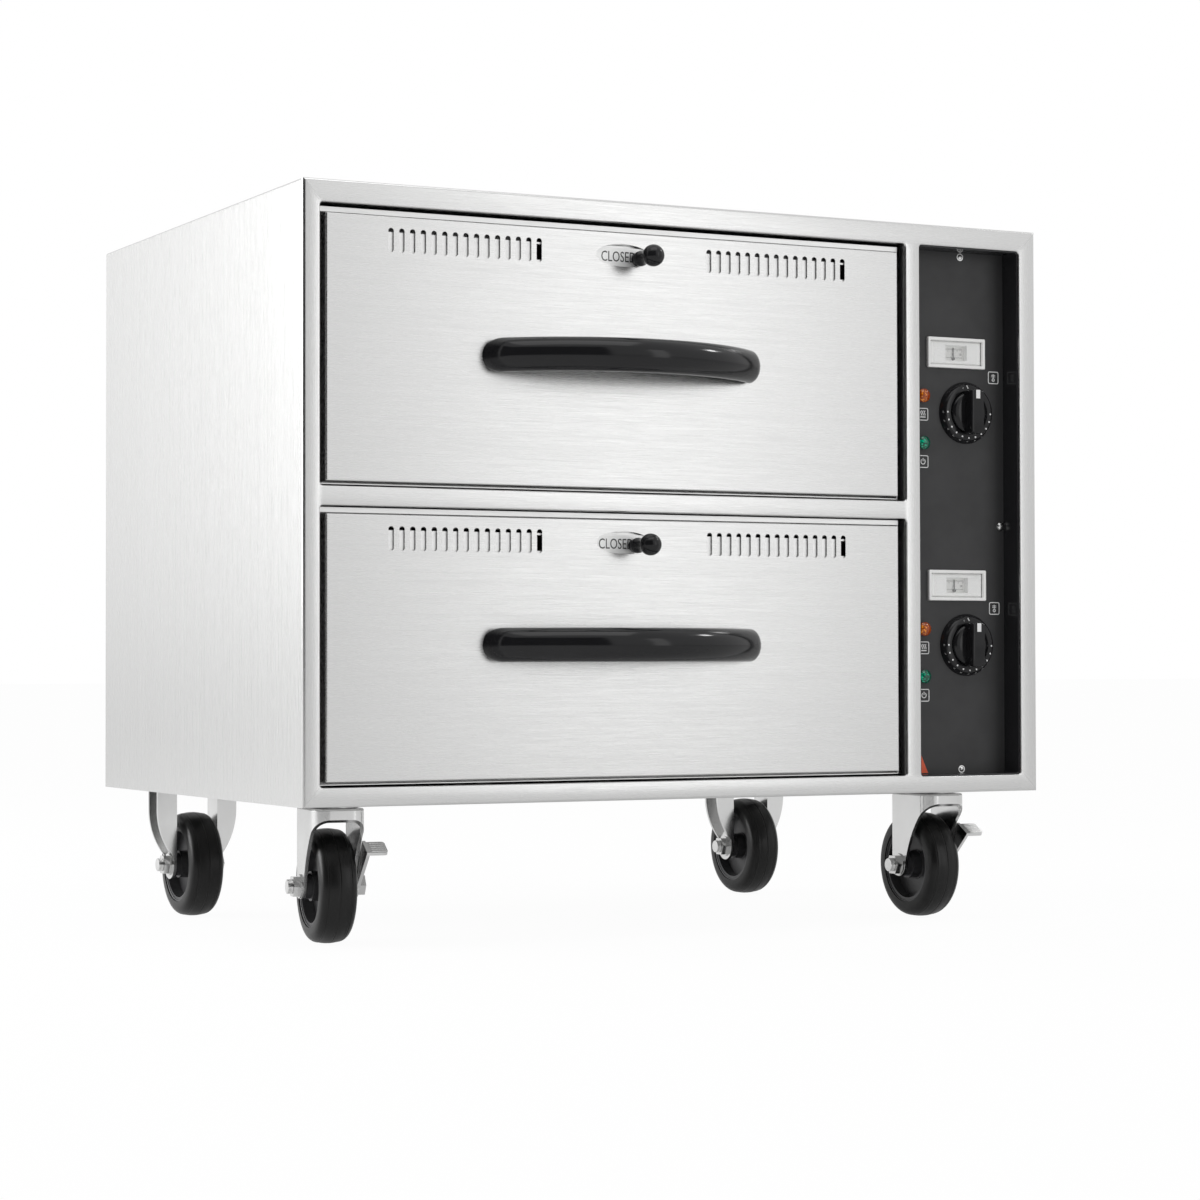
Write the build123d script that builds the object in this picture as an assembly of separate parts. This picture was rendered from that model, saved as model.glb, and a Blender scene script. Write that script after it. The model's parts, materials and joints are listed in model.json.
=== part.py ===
from build123d import *
import os

# Two-drawer food warmer on four casters. Every piece is drawn in millimetres from the
# body's front left bottom corner: X to the right, Y to the back, Z up. The finished
# pieces are then moved so that the origin lies under the middle of the whole object,
# on the floor.

# ---- body ---------------------------------------------------------------------------
BODY_W = 740.0
BODY_D = 527.0
BODY_H = 527.0
CASTER_H = 123.0
SHEET = 1.2                  # casing, liners and fronts
FACE_SHEET = 1.5             # front frame
FRAME_LIP = 4.0              # depth of the front frame's outer edge
EDGE_R = 2.5                 # rolled outer edge of the front frame
FLANGE_D = 23.0              # how far the frame turns in around each opening
OPENING_R = 3.0
CASING_LIP = 16.0            # the casing's inward edges at the rear
REAR_Y = BODY_D - 14.0       # back panel's front face, inside the casing's rear edge
PANEL_SHEET = 1.0
BASE_Z = 6.0                 # underside of the base pan, above the body's lower edge
BASE_SHEET = 1.5
BASE_TOP = BASE_Z + BASE_SHEET
BASE_UPSTAND_TOP = 24.0
STIFFENER_HALF = 40.0        # doubler plate over each pair of casters
STIFFENER_SHEET = 2.0

GLAND_X = 690.0
GLAND_Z = 60.0
GLAND_HOLE_R = 8.0
GLAND_BORE_R = 5.0
GLAND_REACH = 12.0           # inside and outside the back panel

DRAWER_OPENING_X = (15.6, 595.5)
UPPER_OPENING_Z = (269.5, 507.5)
LOWER_OPENING_Z = (16.5, 253.0)
MIDDLE_X = sum(DRAWER_OPENING_X) / 2

# ---- heated cavities ----------------------------------------------------------------
LINER_GAP = 4.0              # liner wall outside the opening's edge
LINER_SHEET = 1.0
LINER_BACK = 500.0
LINER_R = 6.0
ELEMENT_R = 4.0
ELEMENT_ABOVE_FLOOR = 14.0
ELEMENT_RUN_Y = (90.0, 390.0)
ELEMENT_LANES = 4
ELEMENT_LEFT_X = 70.0
ELEMENT_RIGHT_X = 540.0
ELEMENT_END_X = 622.0
ELEMENT_BEND_R = 40.0
CLIP_X = (190.0, 420.0)      # combs that carry the element
CLIP_Y = (70.0, 410.0)
CLIP_SHEET = 1.5
CLIP_FOOT = 14.0
BLANKET_FRONT = 25.0

# ---- control panel ------------------------------------------------------------------
CONTROL_X = (611.5, 724.0)
CONTROL_Z = (15.5, 504.0)
CONTROL_Y = 25.0             # the control plate's front face
CONTROL_SHEET = 1.5
DIAL_X = 677.5
DIAL_Z = {"upper": 355.5, "lower": 137.0}
DIAL_R = 27.5
DIAL_THICK = 4.0
KNOB_R = 19.0
KNOB_SKIRT = 8.0             # front of the skirt, out from the plate
KNOB_REACH = 22.0            # front of the grip, out from the plate
GRIP_W = 12.0
SPINDLE_R = 3.0
THERMOSTAT_HALF = (22.0, 18.0)
THERMOSTAT_Y = (CONTROL_Y + 6.0, CONTROL_Y + 36.0)
LAMP_X = 630.2
LAMP_R = 6.3
LAMP_BODY_R = 3.9
AMBER_ABOVE_DIAL = 14.8
GREEN_BELOW_DIAL = 29.5
THERMOMETER_X = (636.7, 698.0)
THERMOMETER_H = 28.0
THERMOMETER_ABOVE_DIAL = 56.0
THERMOMETER_RIM = 3.2        # rim of the case, seen from the front
THERMOMETER_WINDOW = (24.0, 13.0)
SCALE_FACE_Y = CONTROL_Y + 1.0
POINTER_Y = CONTROL_Y + 4.0

# ---- drawers ------------------------------------------------------------------------
FRONT_X = (21.5, 588.5)      # drawer front
FRONT_Y = 2.6
FRONT_DEPTH = 22.0
FRONT_H = 226.0
FRONT_R = 1.4
FRONT_BOTTOMS = {"upper": 273.6, "lower": 20.6}
BACKER_X = (18.0, 591.3)     # plate that closes the drawer front, a little larger
BACKER_BELOW = 2.4
BACKER_ABOVE = 5.2
BACKER_SHEET = 1.0

SLOT_W = 5.0
SLOT_H = 20.7
SLOT_PITCH = 9.97
SLOTS = 15
SLOT_FIRST_X = (80.9, 389.1)
SLOT_BELOW_TOP = 20.4
WINDOW_X = 303.0             # elliptical window for the vent's knob
WINDOW_HALF = (27.0, 10.0)
VENT_TRAVEL = 2.5 * SLOT_PITCH
VENT_KNOB_X = 317.0
VENT_PLATE_X = (62.0, 556.0)
VENT_PLATE_Y = (4.3, 5.5)
VENT_PLATE_BELOW = 14.0      # plate's edges below and above the slots' middle
VENT_PLATE_ABOVE = 7.0
VENT_GUIDE_X = (236.0, 372.0)
VENT_GUIDE_DEPTH = 3.4
VENT_BALL_R = 9.25
VENT_BALL_OUT = 29.0

HANDLE_X = 305.0
HANDLE_L = 270.0
HANDLE_H = 29.4
HANDLE_REACH = 69.0          # from the body's front face to the crown of the bow
HANDLE_R = 191.0             # bow of the outer face, seen from above
HANDLE_T = 16.0
HANDLE_CROWN = 13.0          # depth of the section's rounded outer part
HANDLE_ABOVE = {"upper": 110.0, "lower": 114.4}   # middle, above the front's lower edge

RUNNER_ABOVE = 62.0          # runner's middle above the drawer front's lower edge
RUNNER_WALL = 1.2
RUNNER_BEND = 1.0
LINER_FACE_X = DRAWER_OPENING_X[0] - LINER_GAP + LINER_SHEET
FIXED_RUNNER_X = (LINER_FACE_X, LINER_FACE_X + 9.0)
MIDDLE_RUNNER_X = (LINER_FACE_X + 4.4, LINER_FACE_X + 11.6)
DRAWER_RUNNER_X = (LINER_FACE_X + 7.4, LINER_FACE_X + 13.4)
FIXED_RUNNER_Y = (27.0, 467.0)
MIDDLE_RUNNER_Y = (29.0, 449.0)
DRAWER_RUNNER_Y = (26.0, 406.0)
FIXED_RUNNER_HALF = 22.5
MIDDLE_RUNNER_HALF = 20.8
DRAWER_RUNNER_HALF = 19.1

TRAY_X = DRAWER_RUNNER_X[1]
TRAY_BACK = 412.0
TRAY_ABOVE = 30.0            # lower edge of the tray's sides above the front's lower edge
PAN_RIM = (530.0, 325.0)     # full-size food pan
PAN_BODY = (504.0, 299.0)
PAN_DEPTH = 150.0
PAN_SHEET = 0.8
PAN_LIP = 4.0                # the rim's turned-down edge
PAN_R = 32.0
PAN_FLOOR_R = 14.0
PAN_TAPER = 2.5
PAN_RIM_ABOVE = 188.0
PAN_MIDDLE_Y = 206.0
PAN_GAP = 3.0                # between the pan and the tray's ledge

# ---- casters ------------------------------------------------------------------------
AXLE_Z = -73.0
WHEEL_R = 50.0
WHEEL_HALF = 16.5
CORE_R = 36.0
CORE_HALF = 14.5
HUB_HALF = 19.8
HUB_R = 11.0
BOLT_R = 6.0
BOLT_HEAD = 17.0             # across the flats
BOLT_HEAD_T = 6.0
WASHER_T = 1.5
THREAD_END = 4.5
RUNNING_FIT = 0.05
PIN_X = {"left": 61.7, "right": 678.3}
FRONT_PIN_Y = 85.0
REAR_AXLE_Y = 447.0
TRAIL = 23.0
FRONT_SWIVELS = {"left": -7.0, "right": 0.0}   # how far each front caster is turned
PLATE_HALF = (42.0, 50.0)
PLATE_T = 3.0
PLATE_Z = BASE_Z - PLATE_T   # underside of a caster's top plate
FORK_INNER = 20.5
FORK_OUTER = 23.5
FORK_TOP = -4.0
FORK_FRONT = -26.0           # front wall of the swivel fork, from the king pin
FORK_WALL_Z = -13.0          # its lower edge
FORK_R = 14.0
EYE_R = 11.0
RACE_R = 19.5
RACE_GAP = 0.4
RACE_T = 5.0
RIVET_R = 9.0
LEG_HALF = 14.0              # half the depth of a fixed fork's channel leg
LEG_TOP_X = 40.0
LEVER_T = 3.0
PEDAL_W = 16.0
PEDAL_L = 17.0
PEDAL_PLACE = (-15.0, -39.5)
PEDAL_TILT = 30.0

WHOLE_DEPTH = BODY_D + HANDLE_REACH
TO_FLOOR_CENTRE = Vector(-BODY_W / 2, HANDLE_REACH - WHOLE_DEPTH / 2, CASTER_H)


# ---- helpers ------------------------------------------------------------------------
def block(x, y, z):
    """Box between the two ends given for each direction."""
    middle = [(ends[0] + ends[1]) / 2 for ends in (x, y, z)]
    size = [ends[1] - ends[0] for ends in (x, y, z)]
    return Pos(*middle) * Box(*size)


def rod(start, end, radius):
    """Round bar from one point to another."""
    direction = Vector(*end) - Vector(*start)
    plane = Plane(origin=start, z_dir=direction)
    return Solid.make_cylinder(radius, direction.length, plane)


def front_prism(sketch, y):
    """Sketch with X across and Z up, made solid from y[0] back to y[1]."""
    return extrude(Plane.XZ.offset(-y[1]) * sketch, y[1] - y[0])


def side_prism(sketch, x):
    """Sketch with Y across and Z up, made solid from x[0] to x[1]."""
    return extrude(Plane.YZ.offset(x[0]) * sketch, x[1] - x[0])


def rounded_block(x, y, z, radius):
    """Box whose edges along Y are rounded."""
    return fillet(block(x, y, z).edges().filter_by(Axis.Y), radius)


def grown(ends, by):
    """Pair of ends, each moved outwards."""
    return (ends[0] - by, ends[1] + by)


def mirrored_pair(shape, x):
    """Shape and its mirror image about a plane across X, as separate solids."""
    return Compound(children=[shape, mirror(shape, Plane.YZ.offset(x))])


def hexagon(x, axle_y, depth):
    """Hexagonal bar along X, for the axle's head and nut."""
    bar = extrude(Plane.YZ * RegularPolygon(BOLT_HEAD / 2, 6, major_radius=False), depth)
    return Pos(x, axle_y, AXLE_Z) * bar


# ---- cabinet ------------------------------------------------------------------------
def face_frame():
    """Front frame with a rolled outer edge and a deep flange turned in at each opening."""
    face = block((0, BODY_W), (0, FRAME_LIP), (0, BODY_H))
    face = fillet(face.faces().sort_by(Axis.Y)[0].edges(), EDGE_R)
    behind = block(grown((0, BODY_W), -SHEET), (FACE_SHEET, FRAME_LIP), grown((0, BODY_H), -SHEET))
    frame = face - behind
    openings = [
        (DRAWER_OPENING_X, UPPER_OPENING_Z),
        (DRAWER_OPENING_X, LOWER_OPENING_Z),
        (CONTROL_X, CONTROL_Z),
    ]
    flange_y = (FACE_SHEET / 2, FLANGE_D)
    for x, z in openings:
        frame += rounded_block(grown(x, SHEET), flange_y, grown(z, SHEET), OPENING_R + SHEET)
    for x, z in openings:
        frame -= rounded_block(x, grown((0, FLANGE_D), 1), z, OPENING_R)
    return frame


def outer_casing():
    """Wrapper for the top and sides, with lips along the base and at the rear."""
    outside = block((0, BODY_W), (FRAME_LIP, BODY_D), (0, BODY_H))
    outside = fillet(outside.edges().filter_by(Axis.Y).group_by(Axis.Z)[-1], EDGE_R)
    inside = block(grown((0, BODY_W), -SHEET), (0, BODY_D + 1), (-1, BODY_H - SHEET))
    casing = outside - inside
    bottom_lip = block((SHEET, CASING_LIP), (FRAME_LIP, BODY_D), (BASE_TOP, BASE_TOP + SHEET))
    rear_y = (REAR_Y - SHEET, REAR_Y)
    rear_lip = block((SHEET, CASING_LIP), rear_y, (BASE_TOP + SHEET, BODY_H - SHEET))
    for lip in (bottom_lip, rear_lip):
        casing += lip
        casing += mirror(lip, Plane.YZ.offset(BODY_W / 2))
    top_lip_x = grown((0, BODY_W), -CASING_LIP)
    return casing + block(top_lip_x, rear_y, (BODY_H - CASING_LIP, BODY_H - SHEET))


def base_pan():
    """Floor of the body with its edges turned down, and doublers over the casters."""
    x = grown((0, BODY_W), -SHEET)
    pan = block(x, (FRAME_LIP, BODY_D), (0, BASE_TOP))
    pan -= block(grown(x, -BASE_SHEET), grown((FRAME_LIP, BODY_D), -BASE_SHEET), (-1, BASE_Z))
    upstand_x = grown((0, BODY_W), -CASING_LIP - 6)
    pan += block(upstand_x, (REAR_Y - SHEET, REAR_Y), (BASE_TOP, BASE_UPSTAND_TOP))
    for x in PIN_X.values():
        doubler_y = grown((0, BODY_D), -STIFFENER_HALF)
        pan += block(grown((x, x), STIFFENER_HALF), doubler_y, (BASE_TOP, BASE_TOP + STIFFENER_SHEET))
    return pan


def back_panel():
    x = grown((0, BODY_W), -SHEET - 1)
    panel = block(x, (REAR_Y, REAR_Y + PANEL_SHEET), (BASE_TOP + SHEET, BODY_H - SHEET - 1))
    hole = rod((GLAND_X, REAR_Y - 1, GLAND_Z), (GLAND_X, REAR_Y + 2, GLAND_Z), GLAND_HOLE_R)
    return panel - hole


def cable_gland():
    """Gland with a flange outside the back panel and a locknut inside."""
    def along(y, radius):
        return rod((GLAND_X, REAR_Y + y[0], GLAND_Z), (GLAND_X, REAR_Y + y[1], GLAND_Z), radius)
    gland = along((-GLAND_REACH, PANEL_SHEET), GLAND_HOLE_R - 0.2)
    gland += along((PANEL_SHEET, 4), GLAND_HOLE_R + 3)
    gland += along((4, GLAND_REACH), GLAND_HOLE_R + 1)
    locknut = extrude(RegularPolygon(GLAND_HOLE_R + 2.5, 6), 4)
    gland += Pos(GLAND_X, REAR_Y - 2, GLAND_Z) * Rot(90, 0, 0) * locknut
    return gland - along(grown((-GLAND_REACH, GLAND_REACH), 1), GLAND_BORE_R)


def element_lanes():
    first, last = ELEMENT_RUN_Y
    return [first + (last - first) * lane / (ELEMENT_LANES - 1) for lane in range(ELEMENT_LANES)]


def element_combs(floor_z):
    """Notched strips, welded to the liner's floor, that the element lies in."""
    height = floor_z + ELEMENT_ABOVE_FLOOR
    combs = []
    for x in CLIP_X:
        comb = block((x, x + CLIP_SHEET), CLIP_Y, (floor_z, height))
        comb += block((x, x + CLIP_FOOT), CLIP_Y, (floor_z, floor_z + CLIP_SHEET))
        for y in element_lanes():
            comb -= rod((x - 1, y, height), (x + CLIP_SHEET + 1, y, height), ELEMENT_R)
        combs.append(comb)
    return combs


def liner(opening_z):
    """Box around one cavity, open at the frame's flange, with the element's combs."""
    x = grown(DRAWER_OPENING_X, LINER_GAP)
    z = grown(opening_z, LINER_GAP)
    box = rounded_block(x, (FLANGE_D - LINER_SHEET, LINER_BACK), z, LINER_R)
    box -= rounded_block(
        grown(x, -LINER_SHEET), (FLANGE_D, LINER_BACK - LINER_SHEET), grown(z, -LINER_SHEET), LINER_R - LINER_SHEET
    )
    mouth_x = grown(DRAWER_OPENING_X, SHEET)
    box -= rounded_block(mouth_x, (0, FLANGE_D + 1), grown(opening_z, SHEET), OPENING_R + SHEET)
    floor_z = z[0] + LINER_SHEET
    for comb in element_combs(floor_z):
        box += comb
    element_z = floor_z + ELEMENT_ABOVE_FLOOR
    for y in ELEMENT_RUN_Y:
        box -= rod((x[1] - 3, y, element_z), (x[1] + 2, y, element_z), ELEMENT_R)
    return box


def heating_element(opening_z):
    height = opening_z[0] - LINER_GAP + LINER_SHEET + ELEMENT_ABOVE_FLOOR
    lanes = element_lanes()
    points = [(ELEMENT_END_X, lanes[0], height)]
    for number, y in enumerate(lanes):
        turn_x = ELEMENT_LEFT_X if number % 2 == 0 else ELEMENT_RIGHT_X
        if number > 0:
            points.append((points[-1][0], y, height))
        if number < ELEMENT_LANES - 1:
            points.append((turn_x, y, height))
    points.append((ELEMENT_END_X, lanes[-1], height))
    path = FilletPolyline(*points, radius=ELEMENT_BEND_R)
    start = Plane(origin=points[0], z_dir=(-1, 0, 0))
    return sweep(start * Circle(ELEMENT_R), path)


def insulation_blankets():
    """Blankets around both liners."""
    x = grown(DRAWER_OPENING_X, LINER_GAP)
    upper = grown(UPPER_OPENING_Z, LINER_GAP)
    lower = grown(LOWER_OPENING_Z, LINER_GAP)
    under_z = BASE_TOP + STIFFENER_SHEET
    rear_x = (CASING_LIP + 6, x[1])
    depth = (BLANKET_FRONT, LINER_BACK)
    blanket = block((SHEET, x[1]), depth, (upper[1], BODY_H - SHEET - 0.5))
    blanket += block((SHEET, x[0]), depth, (lower[0], upper[1]))
    blanket += block((SHEET, x[1]), depth, (lower[1], upper[0]))
    blanket += block(rear_x, depth, (under_z, lower[0]))
    return blanket + block(rear_x, (LINER_BACK, REAR_Y - SHEET), (under_z, BODY_H - CASING_LIP - 2))


# ---- control panel ------------------------------------------------------------------
def control_recess_frame():
    """Gloss lining of the recess in front of the control plate."""
    outside = rounded_block(CONTROL_X, (0.8, CONTROL_Y), CONTROL_Z, OPENING_R)
    inside = rounded_block(
        grown(CONTROL_X, -SHEET), (0, CONTROL_Y + 1), grown(CONTROL_Z, -SHEET), OPENING_R - SHEET
    )
    return outside - inside


def thermometer_z(drawer):
    middle = DIAL_Z[drawer] + THERMOMETER_ABOVE_DIAL
    return grown((middle, middle), THERMOMETER_H / 2)


def control_plate():
    plate = rounded_block(CONTROL_X, (CONTROL_Y, CONTROL_Y + CONTROL_SHEET), CONTROL_Z, OPENING_R)
    through = (CONTROL_Y - 1, CONTROL_Y + CONTROL_SHEET + 1)
    for drawer, z in DIAL_Z.items():
        holes = Pos(DIAL_X, z) * Circle(SPINDLE_R + 4)
        holes += Pos(LAMP_X, z + AMBER_ABOVE_DIAL) * Circle(LAMP_BODY_R + 0.1)
        holes += Pos(LAMP_X, z - GREEN_BELOW_DIAL) * Circle(LAMP_BODY_R + 0.1)
        plate -= front_prism(holes, through)
        plate -= block(grown(THERMOMETER_X, -3), through, grown(thermometer_z(drawer), -3))
    return plate


def dial_bezels():
    """Flat rings around the knobs, each with a shallow well for the knob's skirt."""
    bezels = []
    for z in DIAL_Z.values():
        centre = Pos(DIAL_X, z)
        ring = front_prism(centre * Circle(DIAL_R), (CONTROL_Y - DIAL_THICK, CONTROL_Y))
        ring = fillet(ring.edges().group_by(Axis.Y)[0], 1.5)
        ring -= front_prism(centre * Circle(KNOB_R + 1.2), (CONTROL_Y - DIAL_THICK - 1, CONTROL_Y - 1.5))
        ring -= front_prism(centre * Circle(SPINDLE_R + 4), (CONTROL_Y - 3, CONTROL_Y + 1))
        bezels.append(ring)
    return Compound(children=bezels)


def thermostat_knob(drawer):
    """Round skirt with a straight grip bar across it, on the thermostat's spindle."""
    centre = Pos(DIAL_X, DIAL_Z[drawer])
    skirt_front = CONTROL_Y - KNOB_SKIRT
    skirt = front_prism(centre * Circle(KNOB_R), (skirt_front, CONTROL_Y - 2))
    skirt = fillet(skirt.edges().group_by(Axis.Y)[0], 1.5)
    grip_outline = centre * (Circle(KNOB_R - 0.4) & Rectangle(GRIP_W, 2 * KNOB_R))
    grip = front_prism(grip_outline, (CONTROL_Y - KNOB_REACH, skirt_front + 1))
    grip = fillet(grip.edges().group_by(Axis.Y)[0], 1.5)
    return skirt + grip + front_prism(centre * Circle(SPINDLE_R), (CONTROL_Y - 3, CONTROL_Y + 20))


def thermostat_bodies():
    """Switch bodies behind the plate, each with a neck that comes through it."""
    bodies = []
    for z in DIAL_Z.values():
        centre = Pos(DIAL_X, z)
        neck = front_prism(centre * Circle(SPINDLE_R + 3.5), (CONTROL_Y + CONTROL_SHEET, THERMOSTAT_Y[0] + 2))
        half_x, half_z = THERMOSTAT_HALF
        case = rounded_block(grown((DIAL_X, DIAL_X), half_x), THERMOSTAT_Y, grown((z, z), half_z), 3)
        bore = front_prism(centre * Circle(SPINDLE_R + RUNNING_FIT), (CONTROL_Y, CONTROL_Y + 21))
        bodies.append(neck + case - bore)
    return Compound(children=bodies)


def pilot_lamps(offset):
    """Domed lenses on round bodies, one beside each dial."""
    lamps = []
    for z in DIAL_Z.values():
        centre = Pos(LAMP_X, z + offset)
        dome = Pos(LAMP_X, CONTROL_Y + 2, z + offset) * Sphere(LAMP_R + 1.7)
        dome &= front_prism(centre * Circle(LAMP_R), (CONTROL_Y - 7, CONTROL_Y))
        lamps.append(dome + front_prism(centre * Circle(LAMP_BODY_R), (CONTROL_Y - 1, CONTROL_Y + 18)))
    return Compound(children=lamps)


def thermometer_cases():
    """White cases with a bevelled rim, a sunk face and a window over the scale."""
    cases = []
    for drawer in DIAL_Z:
        z = thermometer_z(drawer)
        rim = block(THERMOMETER_X, (CONTROL_Y - 3, CONTROL_Y), z)
        rim = chamfer(rim.faces().sort_by(Axis.Y)[0].edges(), 1)
        inner_x = grown(THERMOMETER_X, -THERMOMETER_RIM)
        case = rim + block(inner_x, (CONTROL_Y - 1, CONTROL_Y + 14), grown(z, -THERMOMETER_RIM))
        case -= block(grown(inner_x, -1.3), (CONTROL_Y - 4, SCALE_FACE_Y), grown(z, -THERMOMETER_RIM - 1.3))
        window = Pos(sum(THERMOMETER_X) / 2, sum(z) / 2) * Rectangle(*THERMOMETER_WINDOW)
        cases.append(case - front_prism(window, (CONTROL_Y, CONTROL_Y + 8)))
    return Compound(children=cases)


def thermometer_lenses():
    lenses = []
    for drawer in DIAL_Z:
        x = grown(THERMOMETER_X, -THERMOMETER_RIM - 1.3)
        z = grown(thermometer_z(drawer), -THERMOMETER_RIM - 1.3)
        lenses.append(block(x, (CONTROL_Y - 2, CONTROL_Y - 1), z))
    return Compound(children=lenses)


def thermometer_pointer(drawer):
    """Thin blade on a hub just above the window's lower edge."""
    z = thermometer_z(drawer)
    x = sum(THERMOMETER_X) / 2
    pivot_z = z[0] + 9.2
    blade = block(grown((x, x), 0.5), (POINTER_Y, POINTER_Y + 0.6), (pivot_z, z[1] - 8.5))
    return blade + rod((x, POINTER_Y - 0.6, pivot_z), (x, POINTER_Y + 1.4, pivot_z), 1.4)


def terminal_block():
    """Strip of five screw terminals on the doubler, near the cable gland."""
    floor_z = BASE_TOP + STIFFENER_SHEET
    strip = block((640, 690), (440, 460), (floor_z, floor_z + 18))
    strip -= block((639, 691), (436, 444), (floor_z + 10, floor_z + 19))
    for number in range(5):
        x = 645 + number * 10
        strip -= rod((x, 452, floor_z + 12), (x, 452, floor_z + 19), 2.6)
    return strip


# ---- drawers ------------------------------------------------------------------------
def slot_centres():
    return [first + SLOT_PITCH * number for first in SLOT_FIRST_X for number in range(SLOTS)]


def drawer_front(bottom):
    """Folded front with two groups of slots, an oval window and guides for the vent slider."""
    top = bottom + FRONT_H
    skin = block(FRONT_X, (FRONT_Y, FRONT_Y + FRONT_DEPTH), (bottom, top))
    skin = fillet(skin.faces().sort_by(Axis.Y)[0].edges(), FRONT_R)
    hollow_y = (FRONT_Y + SHEET, FRONT_Y + FRONT_DEPTH + 1)
    skin -= block(grown(FRONT_X, -SHEET), hollow_y, grown((bottom, top), -SHEET))
    slot_z = top - SLOT_BELOW_TOP
    window = Pos(WINDOW_X, slot_z) * Ellipse(*WINDOW_HALF)
    slots = [Pos(x, slot_z) * SlotOverall(SLOT_H, SLOT_W, rotation=90) for x in slot_centres()]
    skin -= front_prism(Sketch() + [window] + slots, (FRONT_Y - 1, FRONT_Y + 3))
    rail_y = (FRONT_Y + SHEET, FRONT_Y + SHEET + VENT_GUIDE_DEPTH)
    keeper_y = (rail_y[1], rail_y[1] + SHEET)
    lower_z = slot_z - VENT_PLATE_BELOW - 2.4
    upper_z = slot_z + VENT_PLATE_ABOVE + 2.4
    skin += block(VENT_GUIDE_X, rail_y, (lower_z, lower_z + 2))
    skin += block(VENT_GUIDE_X, keeper_y, (lower_z, lower_z + 5))
    skin += block(VENT_GUIDE_X, rail_y, (upper_z, upper_z + 2))
    return skin + block(VENT_GUIDE_X, keeper_y, (upper_z - 3, upper_z + 2))


def drawer_backer(bottom):
    """Plate that closes the drawer front from behind, with a window behind each slot group."""
    y = (FRONT_Y + FRONT_DEPTH, FRONT_Y + FRONT_DEPTH + BACKER_SHEET)
    z = (bottom - BACKER_BELOW, bottom + FRONT_H + BACKER_ABOVE)
    plate = rounded_block(BACKER_X, y, z, 2)
    slot_z = bottom + FRONT_H - SLOT_BELOW_TOP
    for first in SLOT_FIRST_X:
        span = grown((first, first + SLOT_PITCH * (SLOTS - 1)), SLOT_W)
        plate -= block(span, grown(y, 1), grown((slot_z, slot_z), SLOT_H / 2))
    return plate


def vent_slider(bottom):
    """Slotted plate behind the front; slid to the left, its cut-outs meet the slots."""
    slot_z = bottom + FRONT_H - SLOT_BELOW_TOP
    plate = block(VENT_PLATE_X, VENT_PLATE_Y, (slot_z - VENT_PLATE_BELOW, slot_z + VENT_PLATE_ABOVE))
    cut_z = grown((slot_z - 1.5, slot_z - 1.5), SLOT_H / 2 - 3.5)
    through = grown(VENT_PLATE_Y, 1)
    for first in SLOT_FIRST_X:
        for number in range(SLOTS):
            x = first + SLOT_PITCH * number + VENT_TRAVEL
            if x < VENT_PLATE_X[1] - SLOT_W:
                plate -= block(grown((x, x), SLOT_W / 2), through, cut_z)
        last_x = first + SLOT_PITCH * (SLOTS - 1)
        plate -= block(grown((last_x, last_x), SLOT_W), through, cut_z)
    return plate


def vent_knob(bottom):
    """Collar, tapered neck and ball in front of the oval window."""
    z = bottom + FRONT_H - SLOT_BELOW_TOP
    collar_front = FRONT_Y - 2.5
    collar = rod((VENT_KNOB_X, VENT_PLATE_Y[0], z), (VENT_KNOB_X, collar_front, z), 7)
    neck_plane = Plane(origin=(VENT_KNOB_X, collar_front, z), z_dir=(0, -1, 0))
    neck = Solid.make_cone(5.5, 4.0, VENT_BALL_OUT - 8, neck_plane)
    ball = Pos(VENT_KNOB_X, FRONT_Y - VENT_BALL_OUT, z) * Sphere(VENT_BALL_R)
    return collar + neck + ball


def handle(middle_z):
    """Bowed bar with a rounded outer face: a D section turned about the bow's centre."""
    bow_centre_y = HANDLE_R - HANDLE_REACH
    section_plane = Plane(origin=(HANDLE_X, bow_centre_y, middle_z), x_dir=(0, -1, 0), z_dir=(1, 0, 0))
    section = Pos(HANDLE_R - HANDLE_CROWN, 0) * Ellipse(HANDLE_CROWN, HANDLE_H / 2)
    section &= Pos(HANDLE_R - HANDLE_T / 2, 0) * Rectangle(HANDLE_T, HANDLE_H)
    bow = revolve(section_plane * section, Axis((HANDLE_X, bow_centre_y, middle_z), (0, 0, 1)))
    outline = Pos(HANDLE_X, middle_z) * SlotOverall(HANDLE_L, HANDLE_H)
    return bow & front_prism(outline, (-HANDLE_REACH - 1, FRONT_Y))


def runner(y, x, half_height, opens_right):
    """Channel on the left of the drawer, with rounded bends at its web."""
    channel = block(x, y, (-half_height, half_height))
    web_edges = channel.edges().filter_by(Axis.Y).group_by(Axis.X)[0 if opens_right else -1]
    channel = fillet(web_edges, RUNNER_BEND)
    hollow_x = (x[0] + RUNNER_WALL, x[1] + 1) if opens_right else (x[0] - 1, x[1] - RUNNER_WALL)
    return channel - block(hollow_x, grown(y, 1), grown((0, 0), half_height - RUNNER_WALL))


def runner_pair(bottom, y, x, half_height, opens_right):
    left = Pos(0, 0, bottom + RUNNER_ABOVE) * runner(y, x, half_height, opens_right)
    return mirrored_pair(left, MIDDLE_X)


def fixed_runners():
    pairs = [
        runner_pair(bottom, FIXED_RUNNER_Y, FIXED_RUNNER_X, FIXED_RUNNER_HALF, True)
        for bottom in FRONT_BOTTOMS.values()
    ]
    return Compound(children=[solid for pair in pairs for solid in pair.solids()])


def middle_runners(bottom):
    return runner_pair(bottom, MIDDLE_RUNNER_Y, MIDDLE_RUNNER_X, MIDDLE_RUNNER_HALF, True)


def drawer_runners(bottom):
    return runner_pair(bottom, DRAWER_RUNNER_Y, DRAWER_RUNNER_X, DRAWER_RUNNER_HALF, False)


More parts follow.
